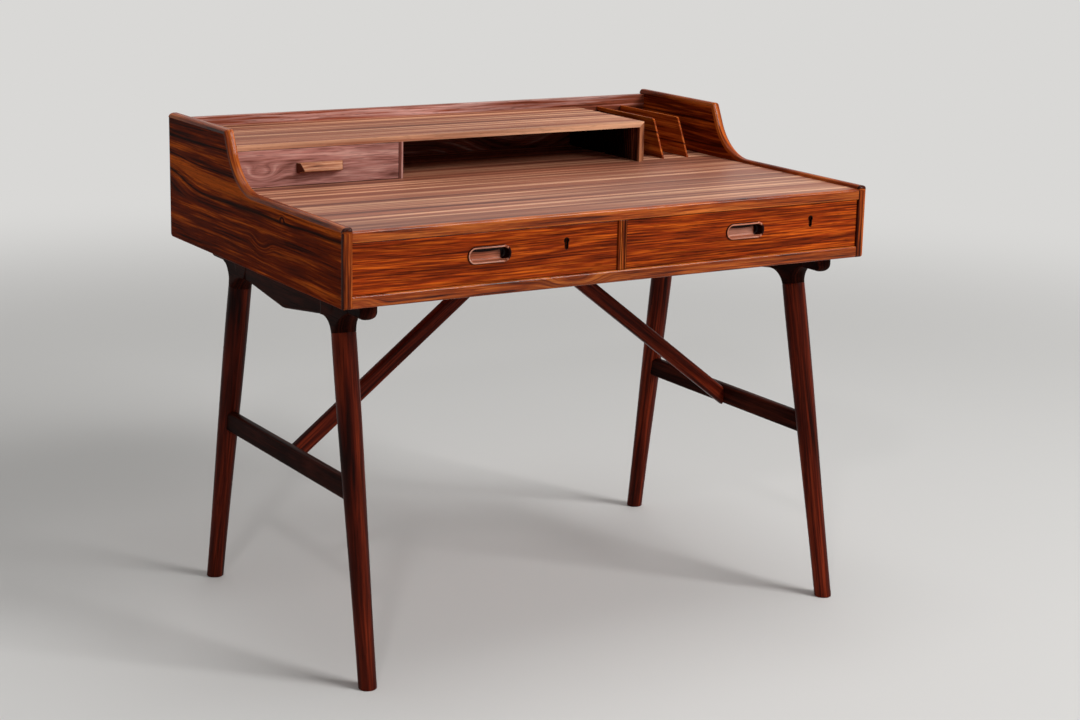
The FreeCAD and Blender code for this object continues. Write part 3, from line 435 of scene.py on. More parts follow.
def shade_of(tree, noise, pore, wood):
    """Brightness of the wood: streaks, slow drift and open pores."""
    streak = add(tree, "MapRange", SPREAD | {"Value": noise["streak"], "To Min": 1 - wood.streak,
                                             "To Max": 1 + wood.streak})
    drift = add(tree, "MapRange", SPREAD | {"Value": noise["drift"], "To Min": 1 - DRIFT,
                                            "To Max": 1 + DRIFT})
    shade = add(tree, "Math", {0: streak, 1: drift}, operation="MULTIPLY")
    hole = add(tree, "Math", {0: pore, 1: -wood.pore, 2: 1.0}, operation="MULTIPLY_ADD")
    return add(tree, "Math", {0: shade, 1: hole}, operation="MULTIPLY")


def wooden(name, wood, cut, own_grain=False):
    """Material of a piece of wood: growth rings round the log's heart, warped along the grain.

    A point's ring is its distance from the heart, moved by a slow noise and lifted round each knot. Noise
    over the ring gives colour bands, fine lines and black veins, and placed veins and zones lie on rings of
    their own. Stretched noise adds streaks and open pores.
    """
    if name in bpy.data.materials:
        return bpy.data.materials[name]
    colours = bpy.context.scene.desk_colours
    stops = [(level, tuple(getattr(colours, f"{wood.colours}_{tone}"))) for tone, level in TONES.items()]
    material, tree = blank_material(name)
    if own_grain:
        source = add(tree, "Attribute", attribute_name="grain").outputs["Vector"]
    else:
        source = add(tree, "TexCoord").outputs["Object"]
    place = add(tree, "Mapping", {"Vector": source, "Location": cut.shift, "Rotation": cut.turn,
                                  "Scale": (1 / MM, 1 / MM, 1 / MM)})
    noise = stretched_noises(tree, place, NOISES | {"warp": (wood.warp_length, wood.warp_width, 1.0)})
    ring = ring_at(tree, place, wood, cut, noise["warp"])
    lines = growth_lines(tree, place, ring, wood)
    tone = tone_of(tree, lines, ring, wood, cut)
    vein = vein_of(tree, lines, noise, ring, wood, cut)
    pore = add(tree, "MapRange", PORES | {"Value": noise["pore"]})
    shade = shade_of(tree, noise, pore, wood)
    colour = add(tree, "ValToRGB", {"Fac": tone}, stops=stops)
    colour = add(tree, "Mix", {0: vein, 6: colour, 7: tuple(colours.vein)}, data_type="RGBA").outputs[2]
    colour = add(tree, "VectorMath", {0: colour, "Scale": shade}, operation="SCALE")

    gloss = add(tree, "MapRange", SPREAD | {
        "Value": noise["streak"], "To Min": wood.roughness + WOOD_GLOSS[0],
        "To Max": wood.roughness + WOOD_GLOSS[1]})
    height = add(tree, "Math", {0: pore, 1: -1.0, 2: noise["streak"]}, operation="MULTIPLY_ADD")
    bump = add(tree, "Bump", {"Height": height, "Strength": 0.25, "Distance": 0.15 * MM})
    shader = add(tree, "BsdfPrincipled", {
        "Base Color": colour, "Roughness": gloss, "Normal": bump, "Coat Weight": wood.coat,
        "Coat Roughness": 0.12, "Specular IOR Level": wood.specular, "IOR": 1.5})
    add(tree, "OutputMaterial", {"Surface": shader})
    return material


def metal(name, colour, roughness, grain):
    """Material of worn metal: fine scratches of that width in mm, and slow patches of tarnish."""
    if name in bpy.data.materials:
        return bpy.data.materials[name]
    material, tree = blank_material(name)
    source = add(tree, "TexCoord").outputs["Object"]
    fine = add(tree, "Mapping", {"Vector": source,
                                 "Scale": (0.1 / grain / MM, 1 / grain / MM, 1 / grain / MM)})
    scratch = add(tree, "TexNoise", {"Vector": fine, "Scale": 1.0, "Detail": 3.0})
    patch = add(tree, "TexNoise", {"Vector": source, "Scale": 0.12 / MM, "Detail": 4.0})
    level = add(tree, "MapRange", SPREAD | {"Value": patch, "To Min": TARNISH[0], "To Max": TARNISH[1]})
    base = add(tree, "VectorMath", {0: tuple(colour)[:3], "Scale": level}, operation="SCALE")
    rough = add(tree, "MapRange", SPREAD | {"Value": scratch, "To Min": roughness + METAL_GLOSS[0],
                                            "To Max": roughness + METAL_GLOSS[1]})
    bump = add(tree, "Bump", {"Height": scratch, "Strength": 0.2, "Distance": 0.05 * MM})
    shader = add(tree, "BsdfPrincipled", {"Base Color": base, "Metallic": 1.0, "Roughness": rough,
                                          "Normal": bump})
    add(tree, "OutputMaterial", {"Surface": shader})
    return material


def make_piece(name, rows, grain, material, nodes, body=ROOT, capped=True):
    """Object from a grid of points whose rows are closed loops, which stands for its CAD nodes.

    Neighbouring points make quads. A cap joins each end loop's points straight across, first to last.
    """
    count, around = rows.shape[:2]
    index = np.arange(count * around).reshape(count, around)
    near, far = index[:-1], index[1:]
    faces = [np.stack([near, np.roll(near, -1, 1), np.roll(far, -1, 1), far], -1).reshape(-1, 4)]
    if capped:
        half = around // 2
        for loop in (index[0][::-1], index[-1]):
            left, right = loop[:half], loop[::-1][:half]
            faces.append(np.stack([left[:-1], left[1:], right[1:], right[:-1]], -1))
    faces = np.concatenate(faces)
    points = rows.reshape(-1, 3)
    corners = points[faces]
    crossed = np.cross(corners[:, 1], corners[:, 2]) + np.cross(corners[:, 2], corners[:, 3])
    volume = (corners[:, 0] * crossed).sum()
    if volume < 0:
        faces = faces[:, ::-1]
    mesh = bpy.data.meshes.new(name)
    mesh.from_pydata(points.tolist(), [], faces.tolist())
    kept_grain = mesh.attributes.new("grain", "FLOAT_VECTOR", "POINT")
    kept_grain.data.foreach_set("vector", grain.astype(np.float32).ravel())
    merged = bmesh.new()
    merged.from_mesh(mesh)
    bmesh.ops.remove_doubles(merged, verts=merged.verts, dist=1e-6)
    bmesh.ops.dissolve_degenerate(merged, edges=merged.edges, dist=1e-7)
    merged.to_mesh(mesh)
    merged.free()
    mesh.polygons.foreach_set("use_smooth", np.ones(len(mesh.polygons), dtype=bool))
    mesh.set_sharp_from_angle(angle=SHARP_BEND)
    mesh.materials.append(material)
    piece = bpy.data.objects.new(name, mesh)
    bpy.context.scene.collection.objects.link(piece)
    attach(piece, body)
    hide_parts(*nodes)
    return piece


def finish_nodes(names, material, eased=0.0):
    """Gives CAD nodes their material, and eases their sharp edges by a radius."""
    for name in names:
        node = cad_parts[name]
        for holder in node.material_slots:
            holder.link = "OBJECT"
            holder.material = material
        if eased > 0:
            joined = node.modifiers.new("joined triangles", "WELD")
            joined.merge_threshold = 0.01 * MM
            plain = node.modifiers.new("plain faces", "DECIMATE")
            plain.decimate_type = "DISSOLVE"
            plain.angle_limit = math.radians(0.5)
            edge = node.modifiers.new("eased edges", "BEVEL")
            edge.width = eased
            edge.segments = 2
            edge.limit_method = "ANGLE"
            edge.angle_limit = EASED_BEND


def circle(count):
    """Angles of evenly spaced points round a circle."""
    return np.arange(count) * 2 * np.pi / count


def rounded_rectangle(width, height, radius, steps=7):
    """Points round a rectangle whose corners are quarter circles."""
    signs = np.array([[1, 1], [-1, 1], [-1, -1], [1, -1]])
    turn = np.linspace(0, np.pi / 2, steps) + np.arange(4)[:, None] * np.pi / 2
    centres = signs * [width / 2 - radius, height / 2 - radius]
    return (centres[:, None] + radius * np.stack([np.cos(turn), np.sin(turn)], -1)).reshape(-1, 2)


def eased_corners(corners, radii, steps=5):
    """Points round a polygon, each corner rounded by a curve that leaves it a radius before and after."""
    ahead = np.roll(corners, -1, 0) - corners
    ahead /= np.linalg.norm(ahead, axis=1)[:, None]
    behind = -np.roll(ahead, 1, 0)
    t = np.linspace(0, 1, steps)[None, :, None]
    first = (corners + behind * radii[:, None])[:, None]
    last = (corners + ahead * radii[:, None])[:, None]
    return ((1 - t) ** 2 * first + 2 * t * (1 - t) * corners[:, None] + t ** 2 * last).reshape(-1, 2)


def leg_line(sizes, side, end):
    """Top and bottom of a leg's axis; side and end are -1 for left and front."""
    foot_y = CASE_FRONT + sizes.front_foot_setback if end < 0 else CASE_BACK - sizes.back_foot_setback
    head_y = foot_y + sizes.front_splay if end < 0 else foot_y - sizes.back_splay
    head = np.array([side * (OUTER_X - sizes.leg_head_inset), head_y, CASE_LOW])
    foot = np.array([side * (OUTER_X - sizes.foot_inset), foot_y, 0.0])
    return head, foot


def leg_rows(sizes, side, end):
    """Rows of a turned leg: head + s d + r(s) (cos t a + sin t b), a circle of radius r round the axis d.

    r is the cubic through the radii at joint, belly, middle and foot. Each line down the leg stops at the
    floor, where a quarter circle rounds the rim.
    """
    head, foot = leg_line(sizes, side, end)
    span = np.linalg.norm(foot - head)
    down = (foot - head) / span
    joint = span * sizes.joint_drop / CASE_LOW
    a = np.cross(down, [0.0, 1.0, 0.0])
    a /= np.linalg.norm(a)
    b = np.cross(down, a)
    t = circle(64)
    spoke = np.cos(t)[:, None] * a + np.sin(t)[:, None] * b
    radii = [sizes.joint_radius, sizes.belly_radius, sizes.middle_radius, sizes.foot_radius]
    curve = np.polyfit(LEG_SHARES, radii, 3)
    share = np.linspace(0.004, 1, 70)[:, None]
    radius = np.polyval(curve, share) * np.ones(len(t))
    last = (sizes.foot_rim - head[2] - radius[-1] * spoke[:, 2]) / down[2]
    along = joint + share * (last - joint)
    turn = np.linspace(0, np.pi / 2, 7)[1:, None]
    rim_radius = sizes.foot_radius - sizes.foot_rim * (1 - np.cos(turn)) * np.ones(len(t))
    rim_along = (sizes.foot_rim * (1 - np.sin(turn)) - head[2] - rim_radius * spoke[:, 2]) / down[2]
    top_radius = sizes.joint_radius - LEG_TOP[:, 1:] * MM * np.ones(len(t))
    top_along = joint + LEG_TOP[:, :1] * MM * np.ones(len(t))
    radius = np.concatenate([top_radius, radius, rim_radius])
    along = np.concatenate([top_along, along, rim_along])
    rows = head + along[..., None] * down + radius[..., None] * spoke
    grain = np.stack([along, radius * np.cos(t), radius * np.sin(t)], -1)
    return rows, grain


def smooth_least(a, b, reach):
    """Smaller of two values, rounded off where they are nearer than reach."""
    share = np.clip(0.5 + (b - a) / (2 * reach), 0, 1)
    return b * (1 - share) + a * share - reach * share * (1 - share)


def smooth_step(share):
    """Share eased at both of its ends."""
    return share ** 2 * (3 - 2 * share)


def side_axes(sizes, side):
    """Each leg in side view: the top of its axis, its direction up and its joint with the rail."""
    axes = []
    for end in ENDS.values():
        head, foot = leg_line(sizes, side, end)
        up = (head - foot)[1:] / np.linalg.norm((head - foot)[1:])
        axes.append((head, up, head[1:] - up * sizes.joint_drop / up[1]))
    return axes


def rail_columns(sizes, axes, front, back, rim):
    """Places along a rail, closer together round its ends and its leg heads."""
    columns = [np.linspace(front, back, 150)]
    turn = np.linspace(0, np.pi / 2, 22)
    for end, inward in ((front, 1), (back, -1)):
        columns.append(end + inward * sizes.nub_corner * (1 - np.cos(turn)))
    spread = np.concatenate([sizes.joint_radius * np.sin(turn), rim - sizes.cove_radius * np.cos(turn)])
    for head, up, joint in axes:
        columns += [head[1] - spread / up[1], head[1] + spread / up[1]]
    columns = np.unique(np.round(np.concatenate(columns), 6))
    return columns[(columns >= front) & (columns <= back)]


def rail_underside(sizes, axes, front, back, y):
    """Height of a rail's underside at y: straight runs from depth to depth, smoothed, with rounded ends."""
    first, last = (head[1] for head, up, joint in axes)
    turns = [front, first - MM, first + MM, (first + last) / 2, last - MM, last + MM, back]
    depths = [sizes.nub_height, sizes.nub_height, sizes.rail_end_depth, sizes.rail_middle_depth,
              sizes.rail_end_depth, sizes.nub_height, sizes.nub_height]
    line_y = np.linspace(front, back, 1200)
    line = np.interp(line_y, turns, depths)
    window = np.hanning(25) / np.hanning(25).sum()
    line = np.convolve(np.pad(line, 12, mode="edge"), window, mode="valid")
    reach = np.clip(np.minimum(y - front, back - y), 0, sizes.nub_corner)
    corner = sizes.nub_corner - np.sqrt(sizes.nub_corner ** 2 - (sizes.nub_corner - reach) ** 2)
    return CASE_LOW - np.interp(y, line_y, line) + corner


def lower_edges(sizes, axes, y_top, bar_low, rim):
    """Lowest point of each column, and the edge of the bar alone there.

    A column near a leg ends at its joint or on its cove, and the bar's edge blends into it further out.
    """
    head_low = np.full_like(y_top, CASE_LOW)
    nearest = np.full_like(y_top, rim)
    for head, up, joint in axes:
        q = (y_top - head[1]) * up[1]
        near = np.abs(q)
        s = np.where(near <= sizes.joint_radius, 0.0,
                     np.sqrt(np.clip(sizes.cove_radius ** 2 - (rim - near) ** 2, 0, None)))
        z = joint[1] + s * up[1] - q * up[0]
        head_low = np.where(near < rim, np.minimum(head_low, z), head_low)
        nearest = np.minimum(nearest, near)
    blended = smooth_least(bar_low, head_low, EDGE_BLEND)
    away = np.clip((nearest / rim - 0.5) / 0.45, 0, 1)
    away = smooth_step(away)
    low = away * blended + (1 - away) * np.minimum(bar_low, head_low)
    return low, away * blended + (1 - away) * bar_low


def bar_half_width(sizes, y, z, bar_edge, front, back):
    """Half width of the bar alone: w (1 - (1 - d / e)^2.4)^(1 / 2.4) at a depth d inside its outline."""
    reach = np.minimum(y - front, back - y)
    corner_y = np.clip(sizes.nub_corner - reach, 0, None)
    corner_z = np.clip(sizes.nub_corner - np.clip(z - (CASE_LOW - sizes.nub_height), 0, None), 0, None)
    depth = z - bar_edge[:, None]
    rounded = sizes.nub_corner - np.hypot(corner_y, corner_z)
    depth = np.where(corner_y > 0, np.minimum(depth, rounded), depth)
    share = np.clip(depth / sizes.rail_rounding, 0, 1)
    return sizes.rail_width / 2 * (1 - (1 - share) ** RAIL_FULLNESS) ** (1 / RAIL_FULLNESS)


def rail_rows(sizes, side):
    """Rows of an end rail with its two shaped leg heads, one loop down the outside and up the inside.

    A column at y leans with the nearer leg. Along it the half width at a height is the larger of the bar's
    and the leg head's, sqrt(rho^2 - q^2) at a distance q from the leg's axis, held in by the cheeks;
    rho = r + c - sqrt(c^2 - s^2) is the cove's radius at s above the joint.
    """
    front, back = CASE_FRONT + sizes.front_nub_setback, CASE_BACK - sizes.back_nub_setback
    rim = sizes.joint_radius + sizes.cove_radius
    axes = side_axes(sizes, side)
    y_top = rail_columns(sizes, axes, front, back, rim)
    lean = np.zeros_like(y_top)
    for head, up, joint in axes:
        away = np.clip((np.abs(y_top - head[1]) - rim) / (LEAN_FADE * rim), 0, 1)
        lean += (up[0] / up[1]) * (1 - smooth_step(away))
    lean *= np.clip(np.minimum(y_top - front, back - y_top) / (LEAN_END * rim), 0, 1)

    # The bar's lower edge is where the leaning column meets its underside
    bar_low = rail_underside(sizes, axes, front, back, y_top)
    for _ in range(4):
        bar_low = rail_underside(sizes, axes, front, back, y_top - (CASE_LOW - bar_low) * lean)
    low, bar_edge = lower_edges(sizes, axes, y_top, bar_low, rim)
    t = np.linspace(0, 1, 44)
    z = low[:, None] + (CASE_LOW - low)[:, None] * (1 - t) ** 2
    y = y_top[:, None] - (CASE_LOW - z) * lean[:, None]

    half = bar_half_width(sizes, y, z, bar_edge, front, back)
    cheek_share = np.clip((CASE_LOW - sizes.nub_height - z) / (sizes.joint_drop - sizes.nub_height), 0, 1)
    cheek = sizes.rail_width / 2 + (sizes.cheek - sizes.rail_width / 2) * cheek_share
    for head, up, joint in axes:
        s = (y - joint[0]) * up[0] + (z - joint[1]) * up[1]
        q = (y - joint[0]) * up[1] - (z - joint[1]) * up[0]
        rise = np.clip(s, 0, sizes.cove_radius)
        rho = rim - np.sqrt(sizes.cove_radius ** 2 - rise ** 2)
        horn = np.sqrt(np.clip(rho ** 2 - q ** 2, 0, None))
        horn = smooth_least(cheek, horn, np.clip(0.4 * rise, 0.1 * MM, CHEEK_BLEND))
        horn = np.where(rho > np.abs(q), np.clip(horn, 0, None), 0)
        half = -smooth_least(-half, -horn, HEAD_BLEND * np.clip(rise / (10 * MM), 0.01, 1))
    shift = (sizes.leg_head_inset - sizes.foot_inset) * sizes.joint_drop / CASE_LOW * cheek_share
    x_middle = side * (OUTER_X - sizes.leg_head_inset + shift)
    outside = np.stack([x_middle + half, y, z], -1)
    inside = np.stack([x_middle - half, y, z], -1)[:, ::-1]
    rows = np.concatenate([outside, inside], 1)
    return rows, rows[..., [1, 0, 2]]


def bar_rows(section, start, end, across, up, start_normal, end_normal):
    """Rows of a straight bar whose section runs from one end plane to the other.

    Each corner of the section slides along the bar until it meets the plane through an end point.
    """
    along = (end - start) / np.linalg.norm(end - start)
    lines = start + section[:, :1] * across + section[:, 1:] * up
    first = lines - ((lines - start) @ start_normal / (along @ start_normal))[:, None] * along
    last = lines - ((lines - end) @ end_normal / (along @ end_normal))[:, None] * along
    share = np.linspace(0, 1, 12)[:, None, None]
    rows = first + share * (last - first)
    grain = np.stack([(rows - start) @ along, (rows - start) @ across, (rows - start) @ up], -1)
    return rows, grain


def arc(centre, radius, first, last, count):
    """Points on a circle between two angles in degrees."""
    t = np.radians(np.linspace(first, last, count))
    return np.array(centre) + radius * np.stack([np.cos(t), np.sin(t)], -1)


def front_edging_path(sizes):
    """Outer and inner line of a side's front edging, from the mitre down to the case's lower corner.

    Round a corner the inner line waits in its own corner.
    """
    strip, radius = sizes.edge_strip, sizes.arm_corner
    arm = DESK_TOP + sizes.arm_rise
    corner = CASE_FRONT + radius
    round_top = arc((corner, arm - radius), radius, 135, 180, 7)
    level = np.linspace(arm - strip, CASE_LOW + radius, 16)
    straight = np.stack([np.full_like(level, CASE_FRONT), level], -1)
    round_low = arc((corner, CASE_LOW + radius), radius, 180, 270, 9)[1:]
    mitre = [CASE_FRONT + strip, arm - strip]
    outer = np.concatenate([round_top, straight, round_low])
    inner = np.concatenate([np.tile(mitre, (len(round_top), 1)), straight + [strip, 0],
                            np.stack([np.full(len(round_low), CASE_FRONT + strip), round_low[:, 1]], -1)])
    return outer, inner


def top_edging_path(sizes):
    """Outer and inner line of a side's top edging: arm, swoop, slope, top corner, top and back corner.

    Round a corner the inner line waits in its own corner, and both lines turn about the swoop's centre.
    """
    strip = sizes.edge_strip
    arm = DESK_TOP + sizes.arm_rise
    top = OVERALL_TOP
    lean = math.atan2(sizes.swoop_run, top - arm)
    slope = np.array([math.sin(lean), math.cos(lean)])
    normal = np.array([math.cos(lean), -math.sin(lean)])
    slope_foot = np.array([CASE_BACK - sizes.gallery_side_depth - sizes.swoop_run, arm])
    turn = 90 - math.degrees(lean)
    half_tangent = math.tan(math.radians(turn / 2))
    centre = slope_foot + [-sizes.swoop_radius * half_tangent, sizes.swoop_radius]
    round_arm = arc((CASE_FRONT + sizes.arm_corner, arm - sizes.arm_corner), sizes.arm_corner, 135, 90, 7)
    y = np.linspace(CASE_FRONT + strip, centre[0], 40)
    on_arm = np.stack([y, np.full_like(y, arm)], -1)
    swoop = arc(centre, sizes.swoop_radius, -90, turn - 90, 32)[1:]
    swoop_inner = arc(centre, sizes.swoop_radius + strip, -90, turn - 90, 32)[1:]
    top_point = slope_foot + slope * (top - arm) / slope[1]
    stop = strip * half_tangent
    share = np.linspace(0, 1, 12)[1:, None]
    on_slope = swoop[-1] + share * (top_point - slope * stop - swoop[-1])
    inner_corner = on_slope[-1] + normal * strip
    bend = sizes.top_corner * half_tangent
    round_front = arc((top_point[0] + bend, top - sizes.top_corner), sizes.top_corner, 90 + turn, 90, 11)
    y = np.linspace(top_point[0] + stop, CASE_BACK - sizes.top_corner, 30)
    on_top = np.stack([y, np.full_like(y, top)], -1)
    round_back = arc((CASE_BACK - sizes.top_corner, top - sizes.top_corner), sizes.top_corner, 90, 0, 10)[1:]
    mitre = [CASE_FRONT + strip, arm - strip]
    outer = np.concatenate([round_arm, on_arm, swoop, on_slope, round_front, on_top, round_back])
    inner = np.concatenate([np.tile(mitre, (len(round_arm), 1)), on_arm - [0, strip], swoop_inner,
                            on_slope + normal * strip, np.tile(inner_corner, (len(round_front), 1)),
                            on_top - [0, strip],
                            np.stack([round_back[:, 0], np.full(len(round_back), top - strip)], -1)])
    return outer, inner


def edging_rows(sizes, side, outer, inner):
    """Rows of an edging: a band carried along the outer line, its depth reaching the inner line.

    A quarter ellipse rounds its outer edge, and a smaller quarter circle the inner one.
    """
    reach = inner - outer
    depth = np.linalg.norm(reach, axis=1)[:, None]
    inward = reach / depth
    half = PANEL / 2
    turn = np.linspace(0, np.pi / 2, 12)
    fall = np.minimum(sizes.outer_fall, 0.9 * depth)
    outside = fall * sizes.outer_arris / sizes.outer_fall
    inside = np.minimum(sizes.inner_arris, 0.9 * depth)
    flat = np.ones_like(depth)
    across = side * np.concatenate([half * flat, half - outside * (1 - np.cos(turn)),
                                    inside * (1 - np.sin(turn)) - half, -half * flat], 1)
    inset = np.concatenate([depth, fall * (1 - np.sin(turn)), inside * (1 - np.cos(turn)), depth], 1)
    plane = outer[:, None] + inset[..., None] * inward[:, None]
    x = side * (OUTER_X - half) + across
    rows = np.concatenate([x[..., None], plane], -1)
    walked = np.concatenate([[0], np.cumsum(np.linalg.norm(np.diff(outer, axis=0), axis=1))])
    grain = np.stack([np.broadcast_to(walked[:, None], across.shape), across, -inset], -1)
    return rows, grain


def lip_rows(node, upper, lower):
    """Rows of a board's front edging: its section, rounded along both front edges, carried along X."""
    low, high = (np.array(corner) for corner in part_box(node))
    turn = np.linspace(0, np.pi / 2, 9)
    foot = np.stack([low[1] + lower * (1 - np.sin(turn)), low[2] + lower * (1 - np.cos(turn))], -1)
    arris = np.stack([low[1] + upper * (1 - np.cos(turn)), high[2] - upper * (1 - np.sin(turn))], -1)
    section = np.concatenate([foot, arris, [high[1:], [high[1], low[2]]]])
    x = np.linspace(low[0], high[0], 40)
    rows = np.concatenate([np.broadcast_to(x[:, None, None], (len(x), len(section), 1)),
                           np.broadcast_to(section, (len(x),) + section.shape)], -1)
    return rows, rows.copy()


def handle_rows(sizes, node):
    """Rows of an oval cup: a profile of inset and depth, carried round an oval with straight sides.

    The grain of the ring's outer flank is mirrored in its crest, so that the flank takes its own darker tone,
    a painted shade beside the ring.
    """
    low, high = (np.array(corner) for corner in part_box(node))
    face = low[1] + sizes.handle_proud
    rise = (high[2] - low[2]) / 2
    straight = (high[0] - low[0]) / 2 - rise
    ring, cup, floor = sizes.handle_ring, sizes.handle_cup, face + sizes.handle_depth
    turn = np.linspace(0, np.pi / 2, 6)

    # Outer flank, the two roundings of the ring, the cup and its floor
    outer, inner = 0.5 * ring, 0.45 * ring
    profile = np.concatenate([
        [[rise, high[1]], [0, high[1]]],
        np.stack([outer * (1 - np.cos(turn)), low[1] + outer * (1 - np.sin(turn))], -1),
        np.stack([ring - inner * (1 - np.sin(turn)), low[1] + inner * (1 - np.cos(turn))], -1),
        np.stack([ring + cup * (1 - np.cos(turn)), floor - cup * (1 - np.sin(turn))], -1),
        [[rise, floor]],
    ])
    t = np.linspace(-np.pi / 2, np.pi / 2, 24)
    x_centre = np.repeat([straight, -straight], len(t))
    t = np.concatenate([t, t + np.pi])
    reach = rise - profile[:, :1]
    x = (low[0] + high[0]) / 2 + x_centre + reach * np.cos(t)
    z = (low[2] + high[2]) / 2 + reach * np.sin(t)
    y = np.broadcast_to(profile[:, 1:], x.shape)
    rows = np.stack([x, y, z], -1)
    grain = rows.copy()
    flank = 2 + len(turn)
    grain[:flank, :, 1] = 2 * low[1] - grain[:flank, :, 1]
    return rows, grain


def pull_rows(sizes):
    """Rows of the wedge pull: its eased side view carried from end to end, each end slanting in to the lip.

    The grain of the two end faces is moved away, so that the end grain takes its own dark tone.
    """
    low, high = (np.array(corner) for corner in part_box("small_drawer_pull"))
    reach, rise = high[1] - low[1], high[2] - low[2]
    lip = sizes.pull_lip_rise - sizes.pull_lip
    corners = np.array([
        [-sizes.pull_root, 0], [0, 0], [0, rise], [-sizes.pull_top, rise], [-reach, sizes.pull_lip_rise],
        [-reach, lip], [-(reach + sizes.pull_root) / 2, lip / 2 + sizes.pull_hollow],
    ])
    section = eased_corners(corners, np.array([0.8, 0.1, 0.1, 1.6, 0.9, 0.8, 3.0]) * MM)
    centre = section.mean(0)
    easing = np.array([0.86, 0.97, 1.0, 1.0, 0.97, 0.86])
    along = np.array([0.0, 0.35 * MM, 1.2 * MM])
    span = high[0] - low[0]
    y = high[1] + centre[0] + (section[:, 0] - centre[0]) * easing[:, None]
    y = np.minimum(y, high[1])
    z = low[2] + centre[1] + (section[:, 1] - centre[1]) * easing[:, None]
    from_left = np.concatenate([along, span - along[::-1]])
    slant = sizes.pull_end_run * (high[1] - y) / reach
    share = (from_left / span)[:, None]
    x = low[0] + slant + share * (span - 2 * slant)
    rows = np.stack([x, y, z], -1)
    grain = rows.copy()
    grain[[0, 1, -2, -1], :, 1] += sizes.end_grain
    return rows, grain


def screw_rows(sizes, side, end_y, level, face_x):
    """Rows of a domed slotted screw head, whose flat back meets the shank.

    A square grid (u, v) becomes a disc by x = u sqrt(1 - v^2 / 2), y = v sqrt(1 - u^2 / 2). Its height is
    h (1 - 0.5 r^2), less the slot's depth where |y| is under half its width.
    """
    u = np.linspace(-1, 1, 25)
    slot = SLOT_HALF_WIDTH
    beside = np.linspace(slot + 0.01, 1, 9)
    v = np.concatenate([-beside[::-1], [-slot, slot], beside])
    uu, vv = np.meshgrid(u, v)
    a = uu * np.sqrt(1 - vv ** 2 / 2)
    b = vv * np.sqrt(1 - uu ** 2 / 2)
    height = sizes.screw_height * (1 - 0.5 * (a ** 2 + b ** 2))
    height = height - np.where(np.abs(vv) <= slot + 0.001, SLOT_DEPTH * sizes.screw_height, 0)
    a = np.concatenate([a, a[:, ::-1]], 1) * sizes.screw_radius
    b = np.concatenate([b, b[:, ::-1]], 1) * sizes.screw_radius
    height = np.concatenate([height, np.zeros_like(height)], 1)
    x = face_x - side * (sizes.screw_sink + sizes.screw_height - height)
    y = end_y + a * math.cos(SLOT_TURN) - b * math.sin(SLOT_TURN)
    z = level + a * math.sin(SLOT_TURN) + b * math.cos(SLOT_TURN)
    rows = np.stack([x, y, z], -1)
    return rows, rows.copy()


class DESK_OT_legs(bpy.types.Operator):
    """Turns the four leaning legs"""

    bl_idname = "desk.legs"
    bl_label = "Legs"

    def execute(self, context):
        sizes = context.scene.desk_sizes
        for side_name, side in SIDES.items():
            for end_name, end in ENDS.items():
                rows, grain = leg_rows(sizes, side, end)
                name = f"{end_name}_{side_name}_leg"
                cut = Cut(ALONG_X, (34.0, 16.0 * side), (240.0 * side + 90.0 * end, 0.0, 0.0))
                wood = wooden(f"oiled_rosewood_{name}", FRAME, cut, own_grain=True)
                make_piece(f"turned_{name}", rows, grain, wood, [name])
        return {"FINISHED"}


class DESK_OT_end_rails(bpy.types.Operator):
    """Shapes the two end rails with their leg heads"""

    bl_idname = "desk.end_rails"
    bl_label = "End rails"

    def execute(self, context):
        sizes = context.scene.desk_sizes
        for side_name, side in SIDES.items():
            rows, grain = rail_rows(sizes, side)
            cut = Cut(ALONG_X, (20.0, 560.0), (0.0, 130.0 * side, 40.0))
            wood = wooden(f"oiled_rosewood_{side_name}_rail", RAIL, cut, own_grain=True)
            node = f"{side_name}_end_rail"
            make_piece(f"shaped_{node}", rows, grain, wood, [node])
        return {"FINISHED"}


def stretcher_level(sizes):
    """Height of the middle of the stretchers."""
    return sizes.stretcher_top - sizes.stretcher_height / 2


def stretcher_ends(sizes, side):
    """Points where a stretcher's middle meets the axes of its front and back leg."""
    ends = []
    for end in ENDS.values():
        head, foot = leg_line(sizes, side, end)
        ends.append(foot + (head - foot) * stretcher_level(sizes) / CASE_LOW)
    return ends


class DESK_OT_stretchers(bpy.types.Operator):
    """Makes the rounded bar between the two legs of each end"""

    bl_idname = "desk.stretchers"
    bl_label = "Stretchers"

    def execute(self, context):
        sizes = context.scene.desk_sizes
        section = rounded_rectangle(sizes.stretcher_thickness, sizes.stretcher_height,
                                    sizes.stretcher_rounding)
        for side_name, side in SIDES.items():
            first, last = stretcher_ends(sizes, side)
            rows, grain = bar_rows(section, first, last, X_AXIS, Z_AXIS, Y_AXIS, Y_AXIS)
            cut = Cut(ALONG_X, (30.0, 10.0), (70.0, 55.0 * side, 0.0))
            wood = wooden(f"oiled_rosewood_{side_name}_stretcher", RAIL, cut, own_grain=True)
            node = f"{side_name}_stretcher"
            make_piece(f"rounded_{node}", rows, grain, wood, [node])
        return {"FINISHED"}


